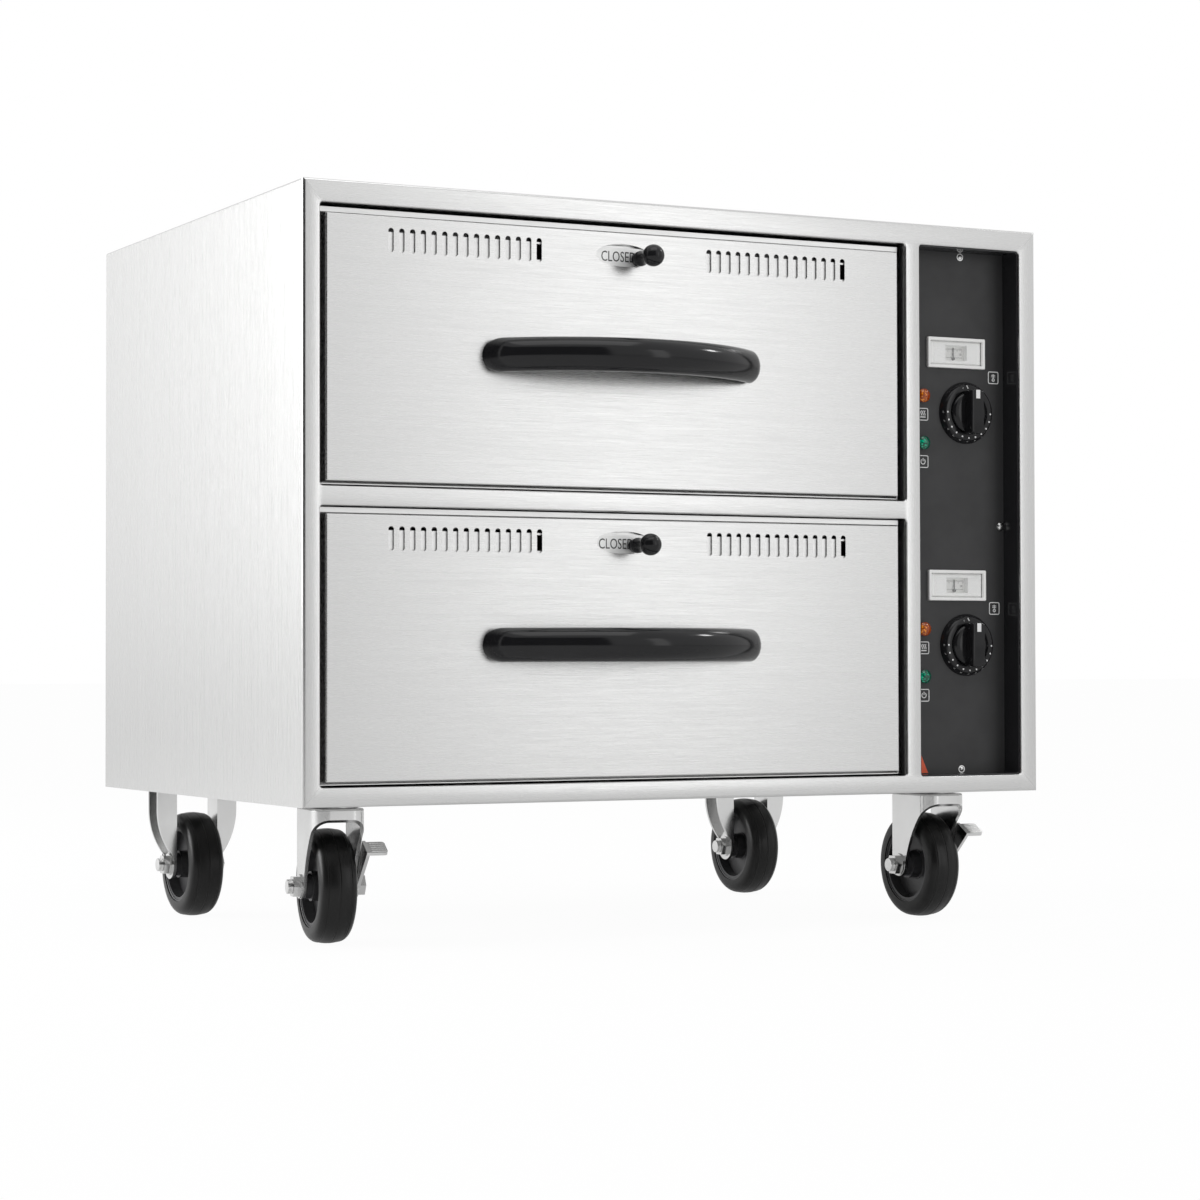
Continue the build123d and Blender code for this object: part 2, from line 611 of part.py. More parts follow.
def drawer_tray(bottom):
    """Frame behind the front: two sides, a back and a ledge that the pan's rim hangs on."""
    x = (TRAY_X, 2 * MIDDLE_X - TRAY_X)
    y = (FRONT_Y + FRONT_DEPTH + BACKER_SHEET, TRAY_BACK)
    z = (bottom + TRAY_ABOVE, bottom + PAN_RIM_ABOVE - PAN_LIP)
    tray = block(x, y, z)
    tray -= block(grown(x, -SHEET), (y[0] - 1, y[1] - SHEET), (z[0] - 1, z[1] - SHEET))
    hole_x = grown((MIDDLE_X, MIDDLE_X), PAN_BODY[0] / 2 + PAN_GAP)
    hole_y = grown((PAN_MIDDLE_Y, PAN_MIDDLE_Y), PAN_BODY[1] / 2 + PAN_GAP)
    hole = block(hole_x, hole_y, grown((z[1], z[1]), 5))
    tray -= fillet(hole.edges().filter_by(Axis.Z), PAN_R)
    return tray - block(grown(x, -60), (y[1] - 5, y[1] + 1), (z[0] + 35, z[1] - 40))


def food_pan(bottom):
    """Drawn pan with tapered walls, a rounded floor and a turned-down rim."""
    outer = extrude(RectangleRounded(*PAN_BODY, PAN_R), -PAN_DEPTH, taper=PAN_TAPER)
    outer = fillet(outer.faces().sort_by(Axis.Z)[0].edges(), PAN_FLOOR_R)
    inner_size = [side - 2 * PAN_SHEET for side in PAN_BODY]
    inner_depth = PAN_DEPTH - PAN_SHEET
    inner = extrude(RectangleRounded(*inner_size, PAN_R - PAN_SHEET), -inner_depth, taper=PAN_TAPER)
    inner = fillet(inner.faces().sort_by(Axis.Z)[0].edges(), PAN_FLOOR_R - PAN_SHEET)
    rim = extrude(RectangleRounded(*PAN_RIM, PAN_R), -PAN_LIP)
    under_size = [side - 2 * PAN_SHEET for side in PAN_RIM]
    under = Pos(0, 0, -PAN_SHEET) * extrude(RectangleRounded(*under_size, PAN_R - PAN_SHEET), -PAN_LIP)
    place = Pos(MIDDLE_X, PAN_MIDDLE_Y, bottom + PAN_RIM_ABOVE)
    return place * ((rim - under) + outer - inner)


# ---- casters ------------------------------------------------------------------------
def wheel_tread(x, y):
    """Tyre with a crowned tread and round shoulders."""
    flat_r = WHEEL_R - 9
    shoulder = (WHEEL_HALF * 0.5, WHEEL_R - 0.9)
    half = Line((0, CORE_R), (WHEEL_HALF, CORE_R)) + Line((WHEEL_HALF, CORE_R), (WHEEL_HALF, flat_r))
    half += ThreePointArc((WHEEL_HALF, flat_r), (WHEEL_HALF * 0.84, WHEEL_R - 3.2), shoulder)
    crown = ThreePointArc(shoulder, (0, WHEEL_R), (-shoulder[0], shoulder[1]))
    outline = half + crown + mirror(half, Plane.YZ)
    tyre = revolve(make_face(outline), Axis.X)
    return Pos(x, y, AXLE_Z) * tyre


def wheel_core(x, y):
    """Dished wheel centre with a plain bore."""
    core = side_prism(Circle(CORE_R), (-CORE_HALF, CORE_HALF))
    for side in (-1, 1):
        dish_x = sorted((side * 4, side * (CORE_HALF + 1)))
        core -= side_prism(Circle(CORE_R - 4) - Circle(HUB_R + 2), dish_x)
    core += side_prism(Circle(HUB_R), (-HUB_HALF, HUB_HALF))
    core -= side_prism(Circle(BOLT_R + RUNNING_FIT), grown((-HUB_HALF, HUB_HALF), 1))
    return Pos(x, y, AXLE_Z) * core


def axle_bore(axle_y):
    reach = FORK_OUTER + 1
    return rod((-reach, axle_y, AXLE_Z), (reach, axle_y, AXLE_Z), BOLT_R + RUNNING_FIT)


def front_caster_fork():
    """Formed swivel fork about the king pin: a crown with a low front wall, its corners
    rounded, and two legs that sweep back to the axle behind the pin."""
    back = TRAIL + EYE_R
    low = AXLE_Z - EYE_R - 5
    shell = block((-FORK_OUTER, FORK_OUTER), (FORK_FRONT, back), (low, FORK_TOP))
    shell = fillet(shell.edges().filter_by(Axis.Z).group_by(Axis.Y)[0], FORK_R)
    shell = fillet(shell.faces().sort_by(Axis.Z)[-1].edges().group_by(Axis.Y)[0], 2)
    wall = FORK_OUTER - FORK_INNER
    inside = block((-FORK_INNER, FORK_INNER), (FORK_FRONT + wall, back + 1), (low - 1, FORK_TOP - wall))
    shell -= fillet(inside.edges().filter_by(Axis.Z).group_by(Axis.Y)[0], FORK_R - wall)
    front_foot = (TRAIL - EYE_R, AXLE_Z)
    back_foot = (TRAIL + EYE_R, AXLE_Z)
    side_view = Line((FORK_FRONT - 1, FORK_TOP + 1), (FORK_FRONT - 1, FORK_WALL_Z))
    side_view += ThreePointArc((FORK_FRONT - 1, FORK_WALL_Z), (-1, -41), front_foot)
    side_view += ThreePointArc(front_foot, (TRAIL, AXLE_Z - EYE_R), back_foot)
    side_view += Line(back_foot, (back_foot[0], FORK_TOP + 1))
    side_view += Line((back_foot[0], FORK_TOP + 1), (FORK_FRONT - 1, FORK_TOP + 1))
    body = shell & side_prism(make_face(side_view), grown((-FORK_OUTER, FORK_OUTER), 1))
    body += rod((0, 0, FORK_TOP - RACE_T), (0, 0, FORK_TOP), RACE_R)
    king_pin = rod((0, 0, FORK_TOP - RACE_T - 1), (0, 0, FORK_TOP + 1), BOLT_R + RUNNING_FIT)
    return body - king_pin - axle_bore(TRAIL)


def caster_plate():
    half_x, half_y = PLATE_HALF
    plate = block((-half_x, half_x), (-half_y, half_y), (PLATE_Z, BASE_Z))
    return fillet(plate.edges().filter_by(Axis.Z), 8)


def front_caster_plate():
    """Top plate with its upper race and the riveted king pin."""
    rivet_top = FORK_TOP - RACE_T - RACE_GAP
    plate = caster_plate()
    plate += rod((0, 0, FORK_TOP + RACE_GAP), (0, 0, PLATE_Z), RACE_R + 2)
    plate += rod((0, 0, rivet_top - 3), (0, 0, PLATE_Z), BOLT_R)
    return plate + rod((0, 0, rivet_top - 3), (0, 0, rivet_top), RIVET_R)


def front_caster_plates():
    plate = front_caster_plate()
    return Compound(children=[Pos(x, FRONT_PIN_Y, 0) * plate for x in PIN_X.values()])


def fixed_fork_leg():
    """Channel beside the wheel, on the left: a flat web and two flanges that stand
    outwards and narrow towards the axle."""
    foot = AXLE_Z - LEG_HALF
    front_view = Line((-FORK_INNER, foot), (-FORK_INNER, PLATE_Z))
    front_view += Line((-FORK_INNER, PLATE_Z), (-LEG_TOP_X, PLATE_Z))
    front_view += Line((-LEG_TOP_X, PLATE_Z), (-LEG_TOP_X, -18))
    front_view += ThreePointArc((-LEG_TOP_X, -18), (-35.5, -45), (-FORK_OUTER, -66))
    front_view += Line((-FORK_OUTER, -66), (-FORK_OUTER, foot))
    front_view += Line((-FORK_OUTER, foot), (-FORK_INNER, foot))
    leg = front_prism(make_face(front_view), (-LEG_HALF, LEG_HALF))
    side_view = Pos(0, AXLE_Z) * Circle(LEG_HALF)
    side_view += Pos(0, AXLE_Z / 2 + BASE_Z) * Rectangle(2 * LEG_HALF, -AXLE_Z + 2 * BASE_Z)
    leg &= side_prism(side_view, (-LEG_TOP_X - 1, 0))
    wall = FORK_OUTER - FORK_INNER
    cavity_y = grown((-LEG_HALF, LEG_HALF), -wall)
    return leg - block((-LEG_TOP_X - 1, -FORK_OUTER), cavity_y, (foot - 1, PLATE_Z + 1))


def rear_caster_fork(x):
    """Fixed fork: top plate and two channel legs."""
    leg = fixed_fork_leg()
    body = caster_plate() + leg + mirror(leg, Plane.YZ)
    return Pos(x, REAR_AXLE_Y, 0) * (body - axle_bore(0))


def axle_bolt(axle_y, head_x):
    """Bolt through fork and wheel: washer, nut and thread end on the left, head on the right."""
    nut_x = -FORK_OUTER - WASHER_T - BOLT_HEAD_T
    shank = rod((nut_x - THREAD_END, axle_y, AXLE_Z), (head_x + 1, axle_y, AXLE_Z), BOLT_R)
    washer = rod((-FORK_OUTER - WASHER_T, axle_y, AXLE_Z), (-FORK_OUTER, axle_y, AXLE_Z), BOLT_R + 4.5)
    nut = hexagon(nut_x, axle_y, BOLT_HEAD_T)
    return shank + washer + nut + hexagon(head_x, axle_y, BOLT_HEAD_T)


def brake_lever():
    """Arm outside the right leg, with a tilted pedal that stands out above the wheel's front."""
    arm_x = (FORK_OUTER + RACE_GAP, FORK_OUTER + RACE_GAP + LEVER_T)
    eye = Pos(TRAIL, AXLE_Z) * Circle(EYE_R)
    arm = make_face(Polyline(
        (TRAIL - EYE_R + 0.5, AXLE_Z - 3), (-19, -47), (-22, -43.5), (-6, -33), (TRAIL + 6, AXLE_Z + 9), close=True
    ))
    lever = side_prism(eye + arm, arm_x)
    pedal = block((arm_x[0], arm_x[1] + PEDAL_W), (-PEDAL_L / 2, PEDAL_L / 2), (-LEVER_T / 2, LEVER_T / 2))
    pedal = fillet(pedal.edges().filter_by(Axis.Z).group_by(Axis.X)[-1], 3)
    lever += Pos(0, *PEDAL_PLACE) * Rot(PEDAL_TILT, 0, 0) * pedal
    bore = rod((arm_x[0] - 1, TRAIL, AXLE_Z), (arm_x[1] + 1, TRAIL, AXLE_Z), BOLT_R + RUNNING_FIT)
    return lever - bore


def front_caster_place(side):
    return Pos(PIN_X[side], FRONT_PIN_Y, 0) * Rot(0, 0, FRONT_SWIVELS[side])


# ---- the whole object ---------------------------------------------------------------
def cabinet_nodes():
    rear_bolt = axle_bolt(0, FORK_OUTER)
    return {
        "face_frame": face_frame(),
        "outer_casing": outer_casing(),
        "base_pan": base_pan(),
        "back_panel": back_panel(),
        "cable_gland": cable_gland(),
        "terminal_block": terminal_block(),
        "insulation_blankets": insulation_blankets(),
        "upper_cavity_liner": liner(UPPER_OPENING_Z),
        "lower_cavity_liner": liner(LOWER_OPENING_Z),
        "upper_heating_element": heating_element(UPPER_OPENING_Z),
        "lower_heating_element": heating_element(LOWER_OPENING_Z),
        "fixed_runners": fixed_runners(),
        "control_recess_frame": control_recess_frame(),
        "control_plate": control_plate(),
        "dial_bezels": dial_bezels(),
        "thermostat_bodies": thermostat_bodies(),
        "amber_pilot_lamps": pilot_lamps(AMBER_ABOVE_DIAL),
        "green_pilot_lamps": pilot_lamps(-GREEN_BELOW_DIAL),
        "thermometer_cases": thermometer_cases(),
        "thermometer_lenses": thermometer_lenses(),
        "front_caster_plates": front_caster_plates(),
        "rear_left_caster_fork": rear_caster_fork(PIN_X["left"]),
        "rear_right_caster_fork": rear_caster_fork(PIN_X["right"]),
        "rear_axle_bolts": Compound(children=[Pos(x, REAR_AXLE_Y, 0) * rear_bolt for x in PIN_X.values()]),
    }


def drawer_nodes(drawer):
    bottom = FRONT_BOTTOMS[drawer]
    return {
        f"{drawer}_drawer_front": drawer_front(bottom),
        f"{drawer}_drawer_backer": drawer_backer(bottom),
        f"{drawer}_drawer_tray": drawer_tray(bottom),
        f"{drawer}_drawer_runners": drawer_runners(bottom),
        f"{drawer}_middle_runners": middle_runners(bottom),
        f"{drawer}_food_pan": food_pan(bottom),
        f"{drawer}_handle": handle(bottom + HANDLE_ABOVE[drawer]),
        f"{drawer}_vent_slider": vent_slider(bottom),
        f"{drawer}_vent_knob": vent_knob(bottom),
        f"{drawer}_thermostat_knob": thermostat_knob(drawer),
        f"{drawer}_thermometer_pointer": thermometer_pointer(drawer),
    }


def front_caster_nodes(side):
    place = front_caster_place(side)
    name = f"front_{side}"
    return {
        f"{name}_caster_fork": place * front_caster_fork(),
        f"{name}_axle_bolt": place * axle_bolt(TRAIL, FORK_OUTER + LEVER_T + 2 * RACE_GAP),
        f"{name}_brake_lever": place * brake_lever(),
        f"{name}_wheel_tread": place * wheel_tread(0, TRAIL),
        f"{name}_wheel_core": place * wheel_core(0, TRAIL),
    }


def rear_wheel_nodes(side):
    return {
        f"rear_{side}_wheel_tread": wheel_tread(PIN_X[side], REAR_AXLE_Y),
        f"rear_{side}_wheel_core": wheel_core(PIN_X[side], REAR_AXLE_Y),
    }


def all_nodes():
    nodes = cabinet_nodes()
    for drawer in FRONT_BOTTOMS:
        nodes.update(drawer_nodes(drawer))
    for side in PIN_X:
        nodes.update(front_caster_nodes(side))
        nodes.update(rear_wheel_nodes(side))
    return nodes


os.makedirs("parts", exist_ok=True)
for name, shape in all_nodes().items():
    export_step(Location(TO_FLOOR_CENTRE) * shape, f"parts/{name}.step")
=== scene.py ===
import json
import math

import bmesh
import bpy
import numpy as np
from mathutils import Matrix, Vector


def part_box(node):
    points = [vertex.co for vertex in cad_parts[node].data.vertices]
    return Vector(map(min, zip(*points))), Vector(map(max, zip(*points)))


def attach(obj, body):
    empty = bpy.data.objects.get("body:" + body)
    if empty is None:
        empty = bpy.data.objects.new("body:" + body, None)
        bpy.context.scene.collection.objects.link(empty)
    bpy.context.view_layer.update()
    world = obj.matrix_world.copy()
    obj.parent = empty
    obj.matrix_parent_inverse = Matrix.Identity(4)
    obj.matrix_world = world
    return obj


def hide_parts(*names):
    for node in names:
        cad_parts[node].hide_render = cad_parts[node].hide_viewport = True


bl_info = {
    "name": "Food Warmer Finish",
    "version": (1, 0, 0),
    "blender": (4, 5, 0),
    "location": "View3D > Sidebar > Warmer",
    "description": "Finishes, markings, small fasteners, light and camera of a two-drawer food warmer",
    "category": "Object",
}

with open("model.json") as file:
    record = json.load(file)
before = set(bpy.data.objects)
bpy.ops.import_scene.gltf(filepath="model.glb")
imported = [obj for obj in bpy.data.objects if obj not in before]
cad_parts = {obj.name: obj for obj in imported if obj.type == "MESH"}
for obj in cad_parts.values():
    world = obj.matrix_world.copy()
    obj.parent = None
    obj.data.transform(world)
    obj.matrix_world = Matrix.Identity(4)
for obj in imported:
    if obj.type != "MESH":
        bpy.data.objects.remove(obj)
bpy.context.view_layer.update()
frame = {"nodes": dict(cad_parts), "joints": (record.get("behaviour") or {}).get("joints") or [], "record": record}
NODES = frame["nodes"]
MM = 0.001
DRAWERS = ("upper", "lower")
SIDES = ("left", "right")


# ---- places read from the frame -----------------------------------------------------
def low(node):
    return np.array(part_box(node)[0])


def high(node):
    return np.array(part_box(node)[1])


BODY_LOW = low("face_frame")
BODY_HIGH = high("outer_casing")
FACE_Y = BODY_LOW[1]
BODY_X = (BODY_LOW[0], BODY_HIGH[0])
BODY_Z = (BODY_LOW[2], BODY_HIGH[2])


def spans(start, pairs):
    """Ranges in metres from pairs of millimetres that are counted from the body's start."""
    return [(start + first * MM, start + last * MM) for first, last in pairs]


STILE_W = 15.6 * MM
RAIL_H = 17.5 * MM
DRAWER_X, CONTROL_X = spans(BODY_X[0], [(15.6, 595.5), (611.0, 721.7)])
UPPER_Z, LOWER_Z, CONTROL_Z = spans(BODY_Z[0], [(269.5, 507.5), (16.5, 253.0), (15.5, 507.6)])
OPENINGS = ((DRAWER_X, UPPER_Z), (DRAWER_X, LOWER_Z), (CONTROL_X, CONTROL_Z))
MIDDLE_RAIL_Z = BODY_Z[0] + 261.2 * MM
MIDDLE_RAIL_HALF = 8.4 * MM
OPENING_R = 3.0 * MM
EDGE_R = 2.5 * MM
BEND_R = 1.3 * MM
FRAME_SHEET = 1.5 * MM
FLANGE_D = high("face_frame")[1] - FACE_Y
PLATE_LOW = low("control_plate")
PANEL_Y = PLATE_LOW[1]
BEZEL_LOW = low("dial_bezels")
BEZEL_HIGH = high("dial_bezels")
DIAL_R = (BEZEL_HIGH[0] - BEZEL_LOW[0]) / 2
DIAL_X = (BEZEL_LOW[0] + BEZEL_HIGH[0]) / 2
DIAL_Z = {"upper": BEZEL_HIGH[2] - DIAL_R, "lower": BEZEL_LOW[2] + DIAL_R}
CASE_LOW = low("thermometer_cases")
CASE_HIGH = high("thermometer_cases")
CASE_H = 28.0 * MM
CASE_Z = {"upper": CASE_HIGH[2] - CASE_H / 2, "lower": CASE_LOW[2] + CASE_H / 2}
CASE_X = (CASE_LOW[0] + CASE_HIGH[0]) / 2
LAMP_LOW = low("amber_pilot_lamps")
LAMP_HIGH = high("amber_pilot_lamps")
LAMP_X = (LAMP_LOW[0] + LAMP_HIGH[0]) / 2
AXLE = {j["name"]: np.array(j["pos_m"]) for j in frame["joints"] if "pos_m" in j}
AXLE_DIR = {j["name"]: np.array(j["axis"], float) for j in frame["joints"]}


# ---- mesh helpers -------------------------------------------------------------------
def lifted(path, y):
    """Points of a flat path of (x, z) pairs, placed in the upright plane at y."""
    path = np.asarray(path, float)
    return np.stack([path[:, 0], np.full(len(path), y), path[:, 1]], axis=1)


def round_path(centre, radius, steps=28):
    turn = np.linspace(0, 2 * np.pi, steps, endpoint=False)
    return np.asarray(centre) + radius * np.stack([np.cos(turn), np.sin(turn)], axis=1)


def ring_path(x, z, radius, grow=0.0, steps=6):
    """Closed path of (x, z) points round a rectangle with rounded corners, moved outwards by grow."""
    reach = max(radius + grow, 0.02 * MM)
    left, right = x[0] - grow + reach, x[1] + grow - reach
    bottom, top = z[0] - grow + reach, z[1] + grow - reach
    quarter = np.linspace(0, np.pi / 2, steps)
    corners = []
    for number, middle in enumerate([(right, top), (left, top), (left, bottom), (right, bottom)]):
        turn = quarter + number * np.pi / 2
        corners.append(np.array(middle) + reach * np.stack([np.cos(turn), np.sin(turn)], axis=1))
    return np.vstack(corners)


def around(middle, half):
    return middle - half, middle + half


class Surface:
    """Gathers grids of points into one mesh."""

    def __init__(self):
        self.points = []
        self.faces = []
        self.count = 0

    def grid(self, points, wrap_u=False, wrap_v=False, caps=False):
        """Grid of points[u, v]: each face joins a point to its neighbours along u and v.
        A wrapped direction joins its last row to its first; caps close the first and last u rows."""
        nu, nv = points.shape[:2]
        index = np.arange(nu * nv).reshape(nu, nv) + self.count
        rows = np.vstack([index, index[:1]]) if wrap_u else index
        grid = np.hstack([rows, rows[:, :1]]) if wrap_v else rows
        quads = np.stack([grid[:-1, :-1], grid[1:, :-1], grid[1:, 1:], grid[:-1, 1:]], axis=-1)
        self.points.append(points.reshape(-1, 3))
        self.faces.extend(quads.reshape(-1, 4).tolist())
        if caps:
            self.faces.append(index[0].tolist())
            self.faces.append(index[-1][::-1].tolist())
        self.count += nu * nv
        return self

    def fill(self, loops, y):
        """Flat sheet at plane y, inside the first closed path of (x, z) points and outside the rest."""
        work = bmesh.new()
        edges = []
        for loop in loops:
            corners = [work.verts.new((x, y, z)) for x, z in loop]
            edges += [work.edges.new(pair) for pair in zip(corners, corners[1:] + corners[:1])]
        bmesh.ops.triangle_fill(work, use_beauty=True, use_dissolve=False, edges=edges)
        work.verts.index_update()
        self.points.append(np.array([tuple(corner.co) for corner in work.verts]))
        self.faces.extend([[corner.index + self.count for corner in face.verts] for face in work.faces])
        self.count += len(work.verts)
        work.free()
        return self

    def sweep(self, x, z, radius, profile):
        """Carries a profile of (outward offset, y) pairs round a rectangle with rounded corners."""
        rings = [lifted(ring_path(x, z, radius, offset), y) for offset, y in profile]
        return self.grid(np.stack(rings), wrap_v=True)

    def wall(self, path, levels, caps=False):
        """Carries one closed path of (x, z) points from the first plane y to the last."""
        return self.grid(np.stack([lifted(path, y) for y in levels]), wrap_v=True, caps=caps)

    def slab(self, lowest, highest):
        """Closed cuboid between two corners."""
        (x0, y0, z0), (x1, y1, z1) = lowest, highest
        ends = [[(x, y0, z0), (x, y1, z0), (x, y1, z1), (x, y0, z1)] for x in (x0, x1)]
        return self.grid(np.array(ends), wrap_v=True, caps=True)

    def build(self, name, body, slot, finish="", smooth=True, angle=35):
        mesh = bpy.data.meshes.new(name)
        mesh.from_pydata(np.vstack(self.points).tolist(), [], self.faces)
        return finish_mesh(name, mesh, body, slot, finish, smooth, angle)


def linked(name, data):
    """New object at the origin that holds the data."""
    made = bpy.data.objects.new(name, data)
    bpy.context.scene.collection.objects.link(made)
    return made


def unit(direction):
    return np.asarray(direction, float) / np.linalg.norm(direction)


def finish_mesh(name, mesh, body, slot, finish="", smooth=True, angle=35):
    """Merges doubles, turns faces outwards and hands the piece to its body. The finish is the slot's own unless
    another is named."""
    work = bmesh.new()
    work.from_mesh(mesh)
    bmesh.ops.remove_doubles(work, verts=work.verts, dist=1e-6)
    bmesh.ops.recalc_face_normals(work, faces=work.faces)
    work.to_mesh(mesh)
    work.free()
    piece = linked(name, mesh)
    if smooth:
        mesh.shade_smooth()
        mesh.set_sharp_from_angle(angle=math.radians(angle))
    mesh.materials.append(MATERIALS[finish or slot])
    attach(piece, body)
    return piece


def frame_of(axis):
    """Two directions square to an axis."""
    axis = unit(axis)
    across = unit(np.cross((0, 0, 1.0) if abs(axis[2]) < 0.9 else (1.0, 0, 0), axis))
    return axis, across, np.cross(axis, across)


def turned(profile, origin, axis, steps=48):
    """Surface of revolution: point (r, h) of the profile goes to origin + h along the axis
    and r out from it, at each of the steps round the axis."""
    profile = np.asarray(profile, float)
    axis, across, up = frame_of(axis)
    turn = np.linspace(0, 2 * np.pi, steps, endpoint=False)
    out = np.cos(turn)[:, None] * across + np.sin(turn)[:, None] * up
    return origin + profile[:, None, 1, None] * axis + profile[:, None, 0, None] * out[None]


def stroke(surface, path, width, y, depth, closed=False):
    """Flat band of one width along a path of (x, z) points, standing from plane y to y - depth."""
    path = np.asarray(path, float)
    ahead = np.roll(path, -1, axis=0) if closed else np.vstack([path[1:], 2 * path[-1:] - path[-2:-1]])
    behind = np.roll(path, 1, axis=0) if closed else np.vstack([2 * path[:1] - path[1:2], path[:-1]])
    along = ahead - behind
    along /= np.linalg.norm(along, axis=1)[:, None]
    side = np.stack([-along[:, 1], along[:, 0]], axis=1) * width / 2
    left, right = path + side, path - side
    front = y - depth
    ring = [lifted(left, y), lifted(right, y), lifted(right, front), lifted(left, front)]
    return surface.grid(np.stack(ring, axis=1), wrap_u=closed, wrap_v=True, caps=not closed)


def disc(surface, centre, radius, y, depth, steps=24):
    """Flat round dot standing from plane y to y - depth."""
    return surface.wall(round_path(centre, radius, steps), (y, y - depth), caps=True)


def lettering(name, text, size, place, body, slot, finish="",
              depth=0.15 * MM, turn=0.0, squeeze=1.0, lean=0.0):
    """Words or numbers as a flat raised mesh, centred on place and facing the front. They are first
    narrowed by squeeze, then leant back by lean and turned in the front's plane by turn."""
    curve = bpy.data.curves.new(name, "FONT")
    curve.body = text
    curve.size = size
    curve.align_x = "CENTER"
    curve.align_y = "CENTER"
    curve.extrude = depth / 2
    curve.resolution_u = 3
    scratch = linked(name + "_curve", curve)
    mesh = bpy.data.meshes.new_from_object(scratch.evaluated_get(bpy.context.evaluated_depsgraph_get()))
    bpy.data.objects.remove(scratch)
    turned_out = Matrix.Rotation(turn, 4, "Y") @ Matrix.Rotation(lean + math.pi / 2, 4, "X")
    mesh.transform(Matrix.Translation(place) @ turned_out @ Matrix.Diagonal((squeeze, 1, 1, 1)))
    mesh.materials.clear()
    return finish_mesh(name, mesh, body, slot, finish, smooth=False)


# ---- shared effects -----------------------------------------------------------------
def new_group(name, inputs, outputs):
    group = bpy.data.node_groups.new(name, "ShaderNodeTree")
    for label, kind, default in inputs:
        socket = group.interface.new_socket(label, in_out="INPUT", socket_type=kind)
        if default is not None:
            socket.default_value = default
    for label, kind in outputs:
        group.interface.new_socket(label, in_out="OUTPUT", socket_type=kind)
    return group, group.nodes.new("NodeGroupInput"), group.nodes.new("NodeGroupOutput")


def feed(tree, socket, value):
    """Links the socket to a node's output, or gives it a plain value."""
    if isinstance(value, bpy.types.NodeSocket):
        tree.links.new(value, socket)
    else:
        socket.default_value = value


def node(tree, kind, **settings):
    """New node. Each setting is one of its properties or else an input, linked or given a value."""
    made = tree.nodes.new(kind)
    for key, value in settings.items():
        if key in made.bl_rna.properties:
            setattr(made, key, value)
        else:
            feed(tree, made.inputs[key.replace("_", " ")], value)
    return made


def math_node(tree, operation, first, second=None, third=None):
    made = tree.nodes.new("ShaderNodeMath")
    made.operation = operation
    for number, value in enumerate((first, second, third)):
        if value is not None:
            feed(tree, made.inputs[number], value)
    return made.outputs[0]


def grain_group():
    """Brushed grain: noise stretched along one direction, in a fine and a broad octave."""
    group, inside, outside = new_group(
        "BrushedGrain",
        [("Vector", "NodeSocketVector", None), ("Stretch", "NodeSocketVector", (1, 1, 1))],
        [("Fine", "NodeSocketFloat"), ("Broad", "NodeSocketFloat")],
    )
    scaled = node(group, "ShaderNodeVectorMath", operation="MULTIPLY")
    feed(group, scaled.inputs[0], inside.outputs["Vector"])
    feed(group, scaled.inputs[1], inside.outputs["Stretch"])
    wide = node(group, "ShaderNodeVectorMath", operation="SCALE", Scale=0.12)
    feed(group, wide.inputs[0], scaled.outputs[0])
    for label, where, detail, roughness in (("Fine", scaled, 3.0, 0.7), ("Broad", wide, 2.0, 0.5)):
        noise = node(group, "ShaderNodeTexNoise", Vector=where.outputs[0], Scale=1.0, Detail=detail,
                     Roughness=roughness)
        feed(group, outside.inputs[label], noise.outputs["Fac"])
    return group


def speckle_group():
    """Fine speckle with slow blotches, for moulded and painted surfaces."""
    group, inside, outside = new_group(
        "Speckle",
        [("Vector", "NodeSocketVector", None), ("Size", "NodeSocketFloat", 900.0)],
        [("Grain", "NodeSocketFloat"), ("Blotch", "NodeSocketFloat")],
    )
    size = inside.outputs["Size"]
    slow = math_node(group, "MULTIPLY", size, 0.03)
    for label, scale, detail, roughness in (("Grain", size, 2.0, 0.6), ("Blotch", slow, 3.0, 0.55)):
        noise = node(group, "ShaderNodeTexNoise", Vector=inside.outputs["Vector"], Scale=scale,
                     Detail=detail, Roughness=roughness)
        feed(group, outside.inputs[label], noise.outputs["Fac"])
    return group


GROUPS = {}


def place_group(tree, key, **values):
    made = tree.nodes.new("ShaderNodeGroup")
    made.node_tree = GROUPS[key]
    for label, value in values.items():
        feed(tree, made.inputs[label], value)
    return made


def set_shader(tree, shader, **inputs):
    """Links or sets inputs of a shader, with an underscore for each space in an input's name."""
    for key, value in inputs.items():
        feed(tree, shader.inputs[key.replace("_", " ")], value)


def new_material(name):
    made = bpy.data.materials.new(name)
    made.use_nodes = True
    tree = made.node_tree
    shader = next(n for n in tree.nodes if n.type == "BSDF_PRINCIPLED")
    coords = tree.nodes.new("ShaderNodeTexCoord")
    return made, tree, shader, coords.outputs["Object"]


def ramp_colour(tree, value, dark, light, span=(0.3, 0.7)):
    """Colour that runs from dark to light as value crosses span."""
    ramp = node(tree, "ShaderNodeValToRGB", Fac=value)
    for stop, position, colour in zip(ramp.color_ramp.elements, span, (dark, light)):
        stop.position = position
        stop.color = (*colour, 1)
    return ramp.outputs["Color"]


def ranged(tree, value, lowest, highest, span=(0.3, 0.7)):
    made = node(
        tree, "ShaderNodeMapRange", Value=value, From_Min=span[0], From_Max=span[1], To_Min=lowest,
        To_Max=highest)
    return made.outputs["Result"]


def bumped(tree, shader, height, strength, distance):
    bump = node(tree, "ShaderNodeBump", Height=height, Strength=strength, Distance=distance)
    set_shader(tree, shader, Normal=bump.outputs["Normal"])


LEVEL_GRAIN = (30.0, 1200.0, 2600.0)
UPRIGHT_GRAIN = (2600.0, 2600.0, 30.0)
DEPTH_GRAIN = (2600.0, 30.0, 1200.0)


